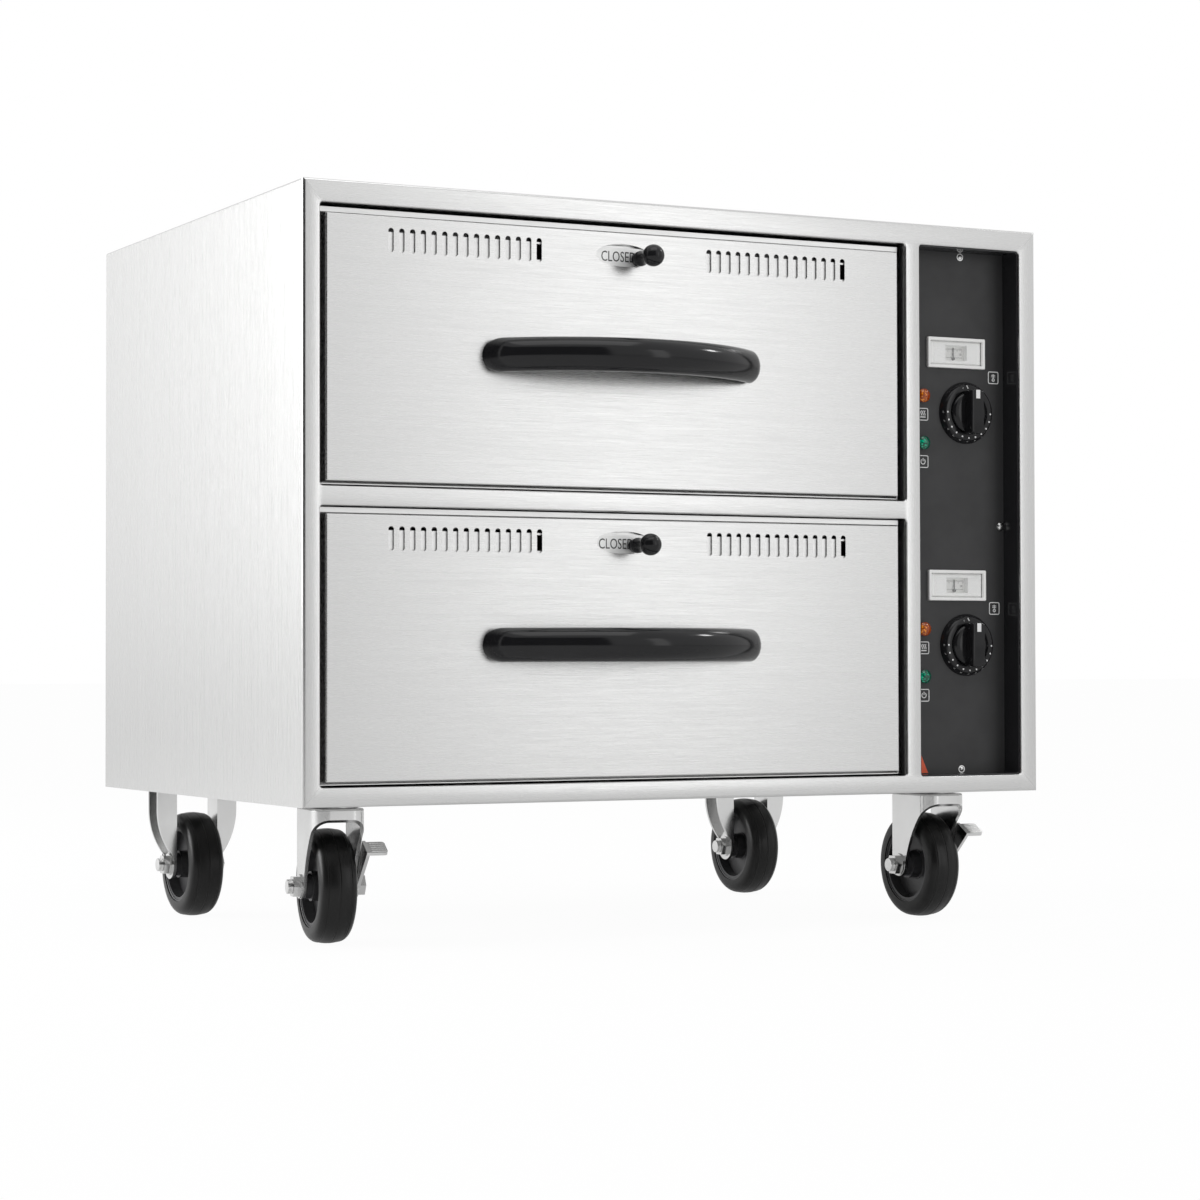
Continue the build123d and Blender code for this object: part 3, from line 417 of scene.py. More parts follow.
def shade(colour, factor):
    return tuple(min(1.0, part * factor) for part in colour)


def brushed_steel(name, colour, stretch, roughness=0.27, relief=0.22, contrast=0.035):
    made, tree, shader, where = new_material(name)
    grain = place_group(tree, "grain", Vector=where, Stretch=stretch)
    mixed = math_node(tree, "MULTIPLY_ADD", grain.outputs["Fine"], 0.82, math_node(
        tree, "MULTIPLY", grain.outputs["Broad"], 0.18))
    colours = ramp_colour(tree, mixed, shade(colour, 1 - contrast), shade(colour, 1 + contrast))
    rough = ranged(tree, mixed, roughness + 0.05, roughness - 0.04)
    set_shader(tree, shader, Base_Color=colours, Roughness=rough, Metallic=1.0)
    bumped(tree, shader, grain.outputs["Fine"], relief, 0.00006)
    return made


def frame_steel(name, colour, roughness=0.24, relief=0.3, contrast=0.05):
    """Brushed steel whose grain runs along each rail or stile and turns at the mitred corners."""
    made, tree, shader, where = new_material(name)
    split = tree.nodes.new("ShaderNodeSeparateXYZ")
    tree.links.new(where, split.inputs[0])
    def edge_distance(axis, ends):
        nearer = math_node(tree, "SUBTRACT", split.outputs[axis], float(ends[0]))
        further = math_node(tree, "SUBTRACT", float(ends[1]), split.outputs[axis])
        return math_node(tree, "MINIMUM", nearer, further)
    stile = math_node(tree, "DIVIDE", edge_distance("X", BODY_X), STILE_W)
    rail = math_node(tree, "DIVIDE", edge_distance("Z", BODY_Z), RAIL_H)
    corner = math_node(tree, "SUBTRACT", math_node(tree, "MINIMUM", stile, 1.0), rail)
    is_rail = math_node(tree, "GREATER_THAN", corner, 0.0)
    near_middle = math_node(tree, "COMPARE", split.outputs["Z"], MIDDLE_RAIL_Z, MIDDLE_RAIL_HALF)
    in_drawers = math_node(tree, "LESS_THAN", split.outputs["X"], DRAWER_X[1])
    past_stile = math_node(tree, "GREATER_THAN", split.outputs["X"], DRAWER_X[0])
    between = math_node(tree, "MULTIPLY", in_drawers, past_stile)
    middle_rail = math_node(tree, "MULTIPLY", near_middle, between)
    level = math_node(tree, "MAXIMUM", is_rail, middle_rail)
    upright, along = [
        place_group(tree, "grain", Vector=where, Stretch=stretch) for stretch in (UPRIGHT_GRAIN, LEVEL_GRAIN)]
    mix = node(tree, "ShaderNodeMix", Factor=level, A=upright.outputs["Fine"], B=along.outputs["Fine"])
    grain = mix.outputs["Result"]
    in_corner = math_node(tree, "LESS_THAN", rail, 1.02)
    mitre = math_node(tree, "MULTIPLY", math_node(tree, "COMPARE", corner, 0.0, 0.03), in_corner)
    seam = math_node(tree, "MULTIPLY", mitre, math_node(tree, "LESS_THAN", stile, 1.02))
    shaded = math_node(tree, "MULTIPLY_ADD", seam, -0.35, grain)
    colours = ramp_colour(tree, shaded, shade(colour, 0.9), shade(colour, 1 + contrast), (0.1, 0.75))
    rough = ranged(tree, shaded, roughness + 0.06, roughness - 0.03)
    set_shader(tree, shader, Base_Color=colours, Roughness=rough, Metallic=1.0)
    bumped(tree, shader, shaded, relief, 0.00006)
    return made


def moulded(name, colour, roughness, size=900.0, relief=0.08, specular=0.5, variation=0.12, metallic=0.0):
    """Plastic, rubber or paint with fine speckle and slow blotches."""
    made, tree, shader, where = new_material(name)
    speckle = place_group(tree, "speckle", Vector=where, Size=size)
    dark, light = shade(colour, 1 - variation), shade(colour, 1 + variation)
    colours = ramp_colour(tree, speckle.outputs["Blotch"], dark, light)
    rough = ranged(tree, speckle.outputs["Blotch"], roughness * 1.15, roughness * 0.9)
    set_shader(tree, shader, Base_Color=colours, Roughness=rough, Metallic=metallic,
               Specular_IOR_Level=specular)
    bumped(tree, shader, speckle.outputs["Grain"], relief, 0.0001)
    return made


def lens_with_painted_light(name, centre, rim):
    """Tinted lens with facets. Its colour and a faint glow are painted bright where it faces the eye, as a painted
    highlight, and dark at its rim, as painted shade.
    """
    made, tree, shader, where = new_material(name)
    facets = node(tree, "ShaderNodeTexVoronoi", Vector=where, Scale=520.0)
    # Layer Weight's facing share paints the middle brighter and the rim darker: a painted highlight and painted
    # shade that follow the eye.
    facing = node(tree, "ShaderNodeLayerWeight", Blend=0.35)
    spread = math_node(tree, "MULTIPLY", facets.outputs["Distance"], 1.1)
    depth = math_node(tree, "ADD", facing.outputs["Facing"], spread)
    # The faint emission below is a painted glow that brightens the lens's middle like a highlight.
    set_shader(
        tree, shader, Base_Color=ramp_colour(tree, depth, centre, rim, (0.1, 0.75)),
        Roughness=ranged(tree, facets.outputs["Distance"], 0.03, 0.08),
        Emission_Color=ramp_colour(tree, depth, centre, shade(rim, 0.4), (0.05, 0.6)),
        Emission_Strength=0.4)
    bumped(tree, shader, facets.outputs["Distance"], 0.2, 0.0003)
    return made


def clear_glass(name):
    made, tree, shader, where = new_material(name)
    speckle = place_group(tree, "speckle", Vector=where, Size=300.0)
    rough = ranged(tree, speckle.outputs["Blotch"], 0.02, 0.08)
    set_shader(tree, shader, Base_Color=(0.98, 0.99, 0.99, 1), Roughness=rough, Alpha=0.12)
    return made


def quilted_blanket(name):
    made, tree, shader, where = new_material(name)
    fibres = node(tree, "ShaderNodeTexNoise", Vector=where, Scale=260.0, Detail=6.0, Roughness=0.75)
    colours = ramp_colour(tree, fibres.outputs["Fac"], (0.5, 0.42, 0.24), (0.85, 0.78, 0.6))
    set_shader(tree, shader, Base_Color=colours, Roughness=0.95)
    bumped(tree, shader, fibres.outputs["Fac"], 0.6, 0.001)
    return made


MATERIALS = {}


def make_materials(look):
    GROUPS["grain"] = grain_group()
    GROUPS["speckle"] = speckle_group()
    steel = tuple(look.steel)
    black = tuple(look.black)
    MATERIALS.update({
        "stainless_face": frame_steel("Stainless frame", steel),
        "stainless_casing": brushed_steel("Stainless casing", steel, UPRIGHT_GRAIN),
        "stainless_top": brushed_steel("Stainless top", steel, LEVEL_GRAIN),
        "stainless_front": brushed_steel("Stainless drawer front", steel, LEVEL_GRAIN),
        # The vent slider's steel is painted lighter than the sheet steel, as painted light against the shade it
        # sits in behind the drawer front.
        "slider_steel": brushed_steel("Vent slider steel painted bright", shade(steel, 1.45), LEVEL_GRAIN, 0.5),
        "zinc_sheet": brushed_steel("Zinc sheet", shade(steel, 0.9), DEPTH_GRAIN, 0.36, 0.15, 0.1),
        # The folded rim's steel is painted lighter, as painted light in the shaded gap above each drawer front.
        "rim_steel_painted_bright": brushed_steel("Rim steel painted bright", shade(steel, 1.3), LEVEL_GRAIN, 0.4),
        "bright_runner": brushed_steel("Runner steel", shade(steel, 1.05), DEPTH_GRAIN, 0.2, 0.15),
        "pan_steel": brushed_steel("Pan steel", shade(steel, 1.05), LEVEL_GRAIN, 0.18, 0.1),
        "zinc_plate": moulded("Zinc plating", shade(steel, 1.1), 0.2, 500.0, 0.12, 0.5, 0.06, 1.0),
        "black_gloss": moulded("Black gloss plastic", black, 0.12, 700.0, 0.02, 0.27),
        "recess_lining": moulded("Black gloss lining", shade(black, 1.6), 0.16, 700.0, 0.02, 0.4),
        "charcoal_plate": moulded("Charcoal plate", tuple(look.charcoal), 0.38, 1400.0, 0.1, 0.3, 0.08),
        "black_nylon": moulded("Black nylon", (0.02, 0.02, 0.02), 0.5, 1200.0, 0.2),
        "control_body": moulded("Control body plastic", (0.08, 0.08, 0.08), 0.5, 1200.0, 0.2),
        "terminal_plastic": moulded("Terminal plastic", (0.75, 0.74, 0.66), 0.45, 900.0, 0.1),
        "white_plastic": moulded("White case plastic", (0.9, 0.9, 0.89), 0.3, 900.0, 0.03, 0.5, 0.03),
        "scale_card": moulded("Scale card", (0.86, 0.86, 0.84), 0.6, 900.0, 0.02, 0.5, 0.03),
        "print_white": moulded("White print", (0.8, 0.8, 0.8), 0.5, 900.0, 0.02, 0.5, 0.05),
        "print_dim": moulded("Dim print", (0.4, 0.4, 0.4), 0.5, 900.0, 0.02, 0.5, 0.05),
        "print_grey": moulded("Grey print", (0.04, 0.04, 0.04), 0.5, 900.0, 0.02, 0.5, 0.05),
        "stripe_orange": moulded("Orange stripe", tuple(look.stripe), 0.4, 900.0, 0.03),
        "pointer_black": moulded("Pointer black", (0.02, 0.02, 0.02), 0.5),
        "element_sheath": brushed_steel("Element sheath", (0.16, 0.13, 0.12), DEPTH_GRAIN, 0.4, 0.2, 0.2),
        "blanket": quilted_blanket("Insulation blanket"),
        "tread_rubber": moulded("Tread rubber", (0.009, 0.009, 0.009), 0.3, 500.0, 0.12, 0.25, 0.25),
        "wheel_grey": moulded("Wheel core plastic", (0.035, 0.035, 0.037), 0.38, 900.0, 0.1),
        # Each lens's first colour is its painted highlight in the middle, and its second is the painted shade at
        # its rim.
        "amber_lens": lens_with_painted_light("Amber lens", (0.95, 0.33, 0.02), (0.25, 0.035, 0.0)),
        "green_lens": lens_with_painted_light("Green lens", (0.0, 0.5, 0.27), (0.0, 0.06, 0.035)),
        "clear_lens": clear_glass("Clear lens"),
    })


# ---- settings -----------------------------------------------------------------------
class WarmerLook(bpy.types.PropertyGroup):
    steel: bpy.props.FloatVectorProperty(
        name="Steel", description="Colour of the brushed stainless sheet",
        default=(0.585, 0.585, 0.582), min=0, max=1, subtype="COLOR")
    black: bpy.props.FloatVectorProperty(
        name="Black", description="Colour of handles, knobs and lining",
        default=(0.010, 0.010, 0.011), min=0, max=1, subtype="COLOR")
    charcoal: bpy.props.FloatVectorProperty(
        name="Control plate", description="Colour of the recessed control plate",
        default=(0.035, 0.035, 0.036), min=0, max=1, subtype="COLOR")
    stripe: bpy.props.FloatVectorProperty(
        name="Stripe", description="Colour of the curved stripe beside the control plate",
        default=(0.75, 0.10, 0.03), min=0, max=1, subtype="COLOR")


class WarmerMarks(bpy.types.PropertyGroup):
    number_size: bpy.props.FloatProperty(
        name="Dial numbers", description="Height of the numbers round each dial",
        default=2.6 * MM, min=1 * MM, max=8 * MM, unit="LENGTH")
    dot_radius: bpy.props.FloatProperty(
        name="Dial dots", description="Radius of the dots round each dial",
        default=0.85 * MM, min=0.2 * MM, max=2 * MM, unit="LENGTH")
    icon_half: bpy.props.FloatProperty(
        name="Icon size", description="Half the width of each square icon",
        default=5.5 * MM, min=2 * MM, max=10 * MM, unit="LENGTH")
    word_size: bpy.props.FloatProperty(
        name="Vent words", description="Height of the words on each vent slider",
        default=13.0 * MM, min=4 * MM, max=20 * MM, unit="LENGTH")


class WarmerStudio(bpy.types.PropertyGroup):
    focal: bpy.props.FloatProperty(
        name="Focal length", description="Lens of the camera, in millimetres",
        default=91.35, min=20, max=300, subtype="DISTANCE_CAMERA")
    yaw: bpy.props.FloatProperty(
        name="Yaw", description="Turn of the camera towards the right",
        default=math.radians(27.12), subtype="ANGLE")
    pitch: bpy.props.FloatProperty(
        name="Pitch", description="Upward tilt of the camera",
        default=math.radians(1.24), subtype="ANGLE")
    key: bpy.props.FloatProperty(
        name="Key light", description="Power of the upright light in front, in watts",
        default=5.0, min=0, unit="POWER")
    roll: bpy.props.FloatProperty(
        name="Roll", description="Turn of the camera about its own line of sight",
        default=math.radians(-0.11), subtype="ANGLE")
    streak: bpy.props.FloatProperty(
        name="Streak light", description="Power of the small light behind the handles' streak, in watts",
        default=5.0, min=0, unit="POWER")
    side: bpy.props.FloatProperty(
        name="Side light", description="Power of the large light on the left, in watts",
        default=62.0, min=0, unit="POWER")
    top: bpy.props.FloatProperty(
        name="Top light", description="Power of the overhead light, in watts",
        default=14.0, min=0, unit="POWER")
    world: bpy.props.FloatProperty(
        name="Room", description="Strength of the even light from all round",
        default=0.62, min=0, max=2)


# ---- operators ----------------------------------------------------------------------
class WARMER_OT_finishes(bpy.types.Operator):
    """Give every CAD node the finish of its slot"""
    bl_idname = "warmer.finishes"
    bl_label = "Finishes"

    def execute(self, context):
        make_materials(context.scene.warmer_look)
        slots = {row["node"]: row["material_slot"] for row in frame["record"]["subparts"]}
        for name, piece in NODES.items():
            piece.data.materials.clear()
            piece.data.materials.append(MATERIALS[slots[name]])
        casing = NODES["outer_casing"].data
        casing.materials.append(MATERIALS["stainless_top"])
        upward = np.zeros(len(casing.polygons) * 3)
        casing.polygons.foreach_get("normal", upward)
        level = (np.abs(upward.reshape(-1, 3)[:, 2]) > 0.7).astype(int)
        casing.polygons.foreach_set("material_index", level)
        return {"FINISHED"}


VENT_WORDS = (("CLOSED", -17.0 * MM), ("OPEN", 22 * MM))
WORD_SHIFT = {"upper": -1.0 * MM, "lower": -4.0 * MM}
WORD_DROP = 1.5 * MM
PRINT_GAP = 0.05 * MM


class WARMER_OT_vent_words(bpy.types.Operator):
    """Put the plain words for shut and open on each vent slider"""
    bl_idname = "warmer.vent_words"
    bl_label = "Vent words"

    def execute(self, context):
        size = context.scene.warmer_marks.word_size
        for drawer in DRAWERS:
            ball_low, ball_high = low(f"{drawer}_vent_knob"), high(f"{drawer}_vent_knob")
            middle = (ball_low + ball_high) / 2
            plate_y = low(f"{drawer}_vent_slider")[1]
            for word, across in VENT_WORDS:
                place = (middle[0] + across + WORD_SHIFT[drawer], plate_y - PRINT_GAP, middle[2] - WORD_DROP)
                lettering(
                    f"{drawer}_vent_word_{word.lower()}", word, size, place, f"{drawer}_vent",
                    "pointer_black", "print_grey", squeeze=0.72)
        return {"FINISHED"}


OUTWARDS = (0, -1, 0)
DIAL_MARKS = 11
DIAL_START = math.radians(180)
DIAL_END = math.radians(358)
DIAL_FACE = 6.8 * MM
DIAL_SLOPE = math.radians(55)
DOT_CIRCLE = 23.9 * MM
NUMBER_CIRCLE = 27.2 * MM
NUMBER_FRONT = 4.4 * MM
PRINT_T = 0.12 * MM
GRIP_FOOT = 8.0 * MM
GRIP_FRONT = 22.0 * MM
GRIP_ROUND = 1.6 * MM
GRIP_MARK = (16.2 * MM, 4 * MM, 4.4 * MM)
GRIP_HALF = 7.0 * MM
GRIP_R = 20.8 * MM


class WARMER_OT_dials(bpy.types.Operator):
    """Sloped dial rings, and knobs with a dished skirt and a straight grip"""
    bl_idname = "warmer.dials"
    bl_label = "Dials and knobs"

    def execute(self, context):
        rings = Surface()
        outline = np.array([
            (20.0, 0.0), (29.1, 0.0), (29.1, 0.9), (28.7, 1.7), (26.3, 6.1), (25.7, 6.6), (25.0, 6.8),
            (20.6, 6.8), (20.2, 6.6), (20.0, 6.0)]) * MM
        for drawer in DRAWERS:
            place = (DIAL_X, PANEL_Y, DIAL_Z[drawer])
            rings.grid(turned(outline, place, OUTWARDS, 72), wrap_u=True, wrap_v=True)
            knob = Surface()
            knob.grid(turned(knob_profile(), place, OUTWARDS, 72), wrap_v=True)
            knob.grid(grip_rings(place), wrap_v=True, caps=True)
            piece = knob.build(f"{drawer}_knob_body", f"{drawer}_knob", "black_gloss", angle=30)
            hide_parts(f"{drawer}_thermostat_knob")
        piece = rings.build("dial_rings", "cabinet", "black_gloss", angle=25)
        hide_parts("dial_bezels")
        return {"FINISHED"}


def knob_profile():
    """Spindle, flat back and dished skirt as (radius, height) pairs out from the plate."""
    return np.array([
        (0.0, -19.0), (3.0, -19.0), (3.0, 3.0), (18.8, 3.0), (19.2, 3.4), (19.2, 7.2), (18.9, 8.0),
        (18.2, 8.8), (16.8, 9.6), (14.0, 10.2), (10.0, 10.6), (5.0, 10.8), (0.0, 10.9)]) * MM


def grip_rings(place):
    """Outlines of the grip bar at several heights: two straight sides joined by arcs of one circle,
    drawn in near the front along a quarter circle."""
    depths = np.radians(np.linspace(0, 90, 5))
    levels = [(GRIP_FOOT, 0.0)]
    levels += [(GRIP_FRONT - GRIP_ROUND * (1 - math.sin(t)), GRIP_ROUND * (1 - math.cos(t))) for t in depths]
    rings = []
    for height, inset in levels:
        half, radius = GRIP_HALF - inset, GRIP_R - inset
        across = np.linspace(half, -half, 16)
        top = np.stack([across, np.sqrt(radius ** 2 - across ** 2)], axis=1)
        rings.append(lifted(np.vstack([top, -top]) + np.array([place[0], place[2]]), place[1] - height))
    return np.stack(rings)


class WARMER_OT_dial_marks(bpy.types.Operator):
    """Dots and plain numbers round each thermostat dial, and the white mark on its grip"""
    bl_idname = "warmer.dial_marks"
    bl_label = "Dial marks"

    def execute(self, context):
        marks = context.scene.warmer_marks
        face_y = PANEL_Y - DIAL_FACE
        for drawer in DRAWERS:
            centre = np.array([DIAL_X, DIAL_Z[drawer]])
            dots = Surface()
            for number in range(DIAL_MARKS):
                turn = DIAL_START + (DIAL_END - DIAL_START) * number / (DIAL_MARKS - 1)
                out = np.array([math.cos(turn), math.sin(turn)])
                disc(dots, centre + out * DOT_CIRCLE, marks.dot_radius, face_y, PRINT_T, 14)
                at = centre + out * NUMBER_CIRCLE
                lettering(
                    f"{drawer}_dial_number_{number}", str(20 + 10 * number), marks.number_size,
                    (at[0], PANEL_Y - NUMBER_FRONT, at[1]), "cabinet", "white_plastic",
                    "print_dim", turn=math.pi / 2 - turn + math.pi, squeeze=0.8, lean=DIAL_SLOPE)
            stroke(dots, centre + np.array([(-2.6, 25.4), (-1.0, 22.6)]) * MM, 1.0 * MM, face_y, PRINT_T)
            dots.build(f"{drawer}_dial_dots", "cabinet", "white_plastic", "print_white", False)
            lettering(
                f"{drawer}_dial_zero", "0", marks.number_size,
                (DIAL_X - 6.6 * MM, face_y - 0.06 * MM, centre[1] + 22.6 * MM), "cabinet", "white_plastic",
                "print_dim")
            rise, half, width = GRIP_MARK
            ends = centre + np.array([(0, rise + half), (0, rise - half)])
            mark = stroke(Surface(), ends, width, PANEL_Y - GRIP_FRONT, 0.15 * MM)
            mark.build(f"{drawer}_grip_mark", f"{drawer}_knob", "white_plastic", "print_white", False)
        return {"FINISHED"}


def heat_icon(surface, centre, half, y, depth):
    """Three rising waves above a bar."""
    rise = np.linspace(-0.25, 0.72, 14)
    for shift in (-0.42, 0.0, 0.42):
        wave = shift + 0.11 * np.sin((rise + 0.25) / 0.97 * 2 * np.pi * 1.2)
        stroke(surface, centre + half * np.stack([wave, rise], axis=1), 0.16 * half, y, depth)
    bar = centre + half * np.array([(-0.62, -0.55), (0.62, -0.55)])
    stroke(surface, bar, 0.2 * half, y, depth)


def power_icon(surface, centre, half, y, depth):
    """Open ring with a short bar through its gap."""
    turn = np.radians(np.linspace(125, 415, 28))
    ring = centre + half * 0.5 * np.stack([np.cos(turn), np.sin(turn)], axis=1)
    stroke(surface, ring, 0.16 * half, y, depth)
    stroke(surface, centre + half * np.array([(0, 0.05), (0, 0.68)]), 0.16 * half, y, depth)


def thermometer_icon(surface, centre, half, y, depth):
    """Bulb and stem with two small arms."""
    bulb = centre + half * round_path((0, -0.42), 0.26, 20)
    stroke(surface, bulb, 0.16 * half, y, depth, closed=True)
    stroke(surface, centre + half * np.array([(0, -0.16), (0, 0.72)]), 0.18 * half, y, depth)
    for level in (0.2, 0.5):
        stroke(surface, centre + half * np.array([(-0.45, level), (0.45, level)]), 0.13 * half, y, depth)


ICON_BELOW_LAMP = 17.5 * MM
ICON_BESIDE_DIAL = (32 * MM, 34.6 * MM)
ICON_CORNER_R = 1.4 * MM
ICON_LINE = 0.75 * MM
STRIPE_SPAN = (2 * MM, 88 * MM)
STRIPE_T = 0.1 * MM
AMBER_ABOVE_DIAL = 14.8 * MM
GREEN_BELOW_DIAL = 29.5 * MM


class WARMER_OT_panel_marks(bpy.types.Operator):
    """Plain symbols for heat, power and temperature, and the curved stripe"""
    bl_idname = "warmer.panel_marks"
    bl_label = "Panel marks"

    def execute(self, context):
        half = context.scene.warmer_marks.icon_half
        for drawer in DRAWERS:
            dial_z = DIAL_Z[drawer]
            beside, above = ICON_BESIDE_DIAL
            places = [
                ("heat", heat_icon, (LAMP_X, dial_z + AMBER_ABOVE_DIAL - ICON_BELOW_LAMP)),
                ("power", power_icon, (LAMP_X, dial_z - GREEN_BELOW_DIAL - ICON_BELOW_LAMP)),
                ("temperature", thermometer_icon, (DIAL_X + beside, dial_z + above)),
            ]
            for label, draw, place in places:
                border = ring_path(around(place[0], half), around(place[1], half), ICON_CORNER_R)
                surface = stroke(Surface(), border, ICON_LINE, PANEL_Y, PRINT_T, closed=True)
                draw(surface, np.array(place), half * 0.86, PANEL_Y, PRINT_T)
                surface.build(f"{drawer}_{label}_icon", "cabinet", "white_plastic", "print_white", False)
        stripe_pieces()
        return {"FINISHED"}


def stripe_pieces():
    """Two bowed slivers along the plate's left edge: each is bounded by the edge and by a curve
    whose width falls nearly with the square of what is left of the way along it."""
    left = CONTROL_X[0] + BEND_R
    start, end = STRIPE_SPAN
    for name, ends, width in (
        ("stripe_top", (CONTROL_Z[1] - start, CONTROL_Z[1] - end), 14.0 * MM),
        ("stripe_bottom", (PLATE_LOW[2] + start, PLATE_LOW[2] + 86 * MM), 22.0 * MM),
    ):
        way = np.linspace(0, 1, 40)
        z = ends[0] + (ends[1] - ends[0]) * way
        outer = np.stack([left + width * (1 - way) ** 1.9 + 0.2 * MM, z], axis=1)
        inner = np.stack([np.full(len(z), left), z], axis=1)
        front = PANEL_Y - STRIPE_T
        ring = [lifted(inner, PANEL_Y), lifted(outer, PANEL_Y), lifted(outer, front), lifted(inner, front)]
        sliver = Surface().grid(np.stack(ring, axis=1), wrap_v=True, caps=True)
        sliver.build(name, "cabinet", "charcoal_plate", "stripe_orange", smooth=False)


class WARMER_OT_thermometers(bpy.types.Operator):
    """Scale card, ticks and numbers behind each thermometer window"""
    bl_idname = "warmer.thermometers"
    bl_label = "Thermometers"

    def execute(self, context):
        cases = Surface()
        for drawer in DRAWERS:
            thermometer_case(cases, CASE_Z[drawer])
        piece = cases.build("thermometer_housings", "cabinet", "white_plastic", angle=20)
        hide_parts("thermometer_cases")
        for drawer in DRAWERS:
            scale(drawer, CASE_Z[drawer])
        return {"FINISHED"}


HOUSING_X = CASE_X - 0.7 * MM
HOUSING_HALF = (31.9 * MM, 14.3 * MM)
HOUSING_R = 1.2 * MM
WINDOW_HALF = (12.1 * MM, 7.1 * MM)
WINDOW_R = 0.4 * MM
CARD_Y = PANEL_Y + 5.8 * MM
CARD_HALF = 12.6 * MM
CARD_H = 14.8 * MM
CARD_T = 0.3 * MM
TICK_PITCH = 1.05 * MM
TICK_TOP = 5.2 * MM
TICK_T = 0.08 * MM


def scale(drawer, z):
    """White card with a row of ticks, of which each fifth is longer, a base line and three numbers."""
    ends = np.array([(CASE_X - CARD_HALF, z), (CASE_X + CARD_HALF, z)])
    card = stroke(Surface(), ends, CARD_H, CARD_Y, CARD_T)
    card.build(f"{drawer}_scale_card", "cabinet", "white_plastic", "scale_card", smooth=False)
    ticks = Surface()
    front = CARD_Y - CARD_T
    for number in range(21):
        x = CASE_X + (number - 10) * TICK_PITCH
        length = 3.2 * MM if number % 5 == 0 else 1.8 * MM
        stroke(ticks, [(x, z + TICK_TOP), (x, z + TICK_TOP - length)], 0.28 * MM, front, TICK_T)
    line = [(CASE_X - 11 * MM, z - 3.6 * MM), (CASE_X + 11 * MM, z - 3.6 * MM)]
    stroke(ticks, line, 0.3 * MM, front, TICK_T)
    ticks.build(f"{drawer}_scale_ticks", "cabinet", "pointer_black", smooth=False)
    for number in range(3):
        place = (CASE_X + (number - 1) * 8.4 * MM, front - 0.06 * MM, z - 0.6 * MM)
        lettering(
            f"{drawer}_scale_number_{number}", str(50 * number), 3.0 * MM, place, "cabinet",
            "pointer_black", depth=TICK_T, squeeze=0.7)


def thermometer_case(surface, z):
    """White housing: a raised rim, a sunk groove inside it, and a bevelled panel with the window."""
    x, tall = around(HOUSING_X, HOUSING_HALF[0]), around(z, HOUSING_HALF[1])
    rim = np.array([
        (-3.4, 8.0), (-3.4, 0.0), (0.0, 0.0), (0.0, -2.5), (-0.2, -2.9), (-0.6, -3.1), (-2.4, -3.1),
        (-2.8, -2.9), (-3.0, -2.4), (-3.2, 0.6), (-3.9, 0.6), (-4.0, -0.2), (-4.8, -0.8)]) * MM
    rim[:, 1] += PANEL_Y
    surface.sweep(x, tall, HOUSING_R, rim)
    window = ring_path(around(CASE_X, WINDOW_HALF[0]), around(z, WINDOW_HALF[1]), WINDOW_R)
    for offset, y in (rim[-1], rim[0]):
        surface.fill([ring_path(x, tall, HOUSING_R, offset), window], y)
    surface.wall(window, (rim[-1][1], rim[0][1]))


def domed_screw(name, place, axis, radius):
    """Domed head on a washer: a turned profile whose height falls along an ellipse, dished in the
    middle where the driver goes."""
    share = np.linspace(0, 1, 14)
    dome = np.stack([radius * share, radius * 0.55 * np.sqrt(1 - share ** 2) + 0.1 * radius], axis=1)
    dome[:3, 1] -= radius * 0.28
    washer = [(1.35 * radius, 0.1 * radius), (1.35 * radius, 0.0), (0.0, 0.0)]
    points = turned(np.vstack([dome, washer]), np.asarray(place, float), axis, 28)
    return Surface().grid(points, wrap_v=True).build(name, "cabinet", "zinc_plate")


class WARMER_OT_front(bpy.types.Operator):
    """Front frame with rolled edges and bends, lining and plate of the control recess"""
    bl_idname = "warmer.front"
    bl_label = "Front frame"

    def execute(self, context):
        piece = frame_surface().build("front_frame", "cabinet", "stainless_face", angle=30)
        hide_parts("face_frame")
        lining = Surface()
        wall = [(0.0, 1.9), (0.0, 25.0), (-1.2, 25.0), (-1.2, 2.3), (-0.8, 1.9), (0.0, 1.9)]
        profile = [(offset * MM, FACE_Y + y * MM) for offset, y in wall]
        lining.sweep(CONTROL_X, CONTROL_Z, OPENING_R, profile)
        piece = lining.build("recess_lining", "cabinet", "recess_lining", angle=30)
        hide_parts("control_recess_frame")
        piece = plate_surface().build("panel_plate", "cabinet", "charcoal_plate", angle=30)
        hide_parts("control_plate")
        return {"FINISHED"}


def frame_surface():
    """Flat face and back with three openings, joined by swept edges: each bend turns its offset
    and its depth through a quarter circle."""
    turn = np.linspace(0, np.pi / 2, 6)
    outer = [(EDGE_R * (math.sin(t) - 1), FACE_Y + EDGE_R * (1 - math.cos(t))) for t in turn]
    outer += [(0.0, FACE_Y + 4 * MM), (-1.2 * MM, FACE_Y + 4 * MM), (-1.2 * MM, FACE_Y + 2.6 * MM)]
    outer += [(-2.4 * MM, FACE_Y + FRAME_SHEET)]
    inner = [(BEND_R * (1 - math.sin(t)), FACE_Y + BEND_R * (1 - math.cos(t))) for t in turn]
    inner += [(0.0, FACE_Y + FLANGE_D), (1.2 * MM, FACE_Y + FLANGE_D), (1.2 * MM, FACE_Y + 2.6 * MM)]
    inner += [(2.0 * MM, FACE_Y + FRAME_SHEET)]
    surface = Surface()
    surface.sweep(BODY_X, BODY_Z, 0.0, outer)
    for x, z in OPENINGS:
        surface.sweep(x, z, OPENING_R, inner)
    for number in (0, -1):
        loops = [ring_path(BODY_X, BODY_Z, 0.0, outer[number][0])]
        loops += [ring_path(x, z, OPENING_R, inner[number][0]) for x, z in OPENINGS]
        surface.fill(loops, outer[number][1])
    return surface


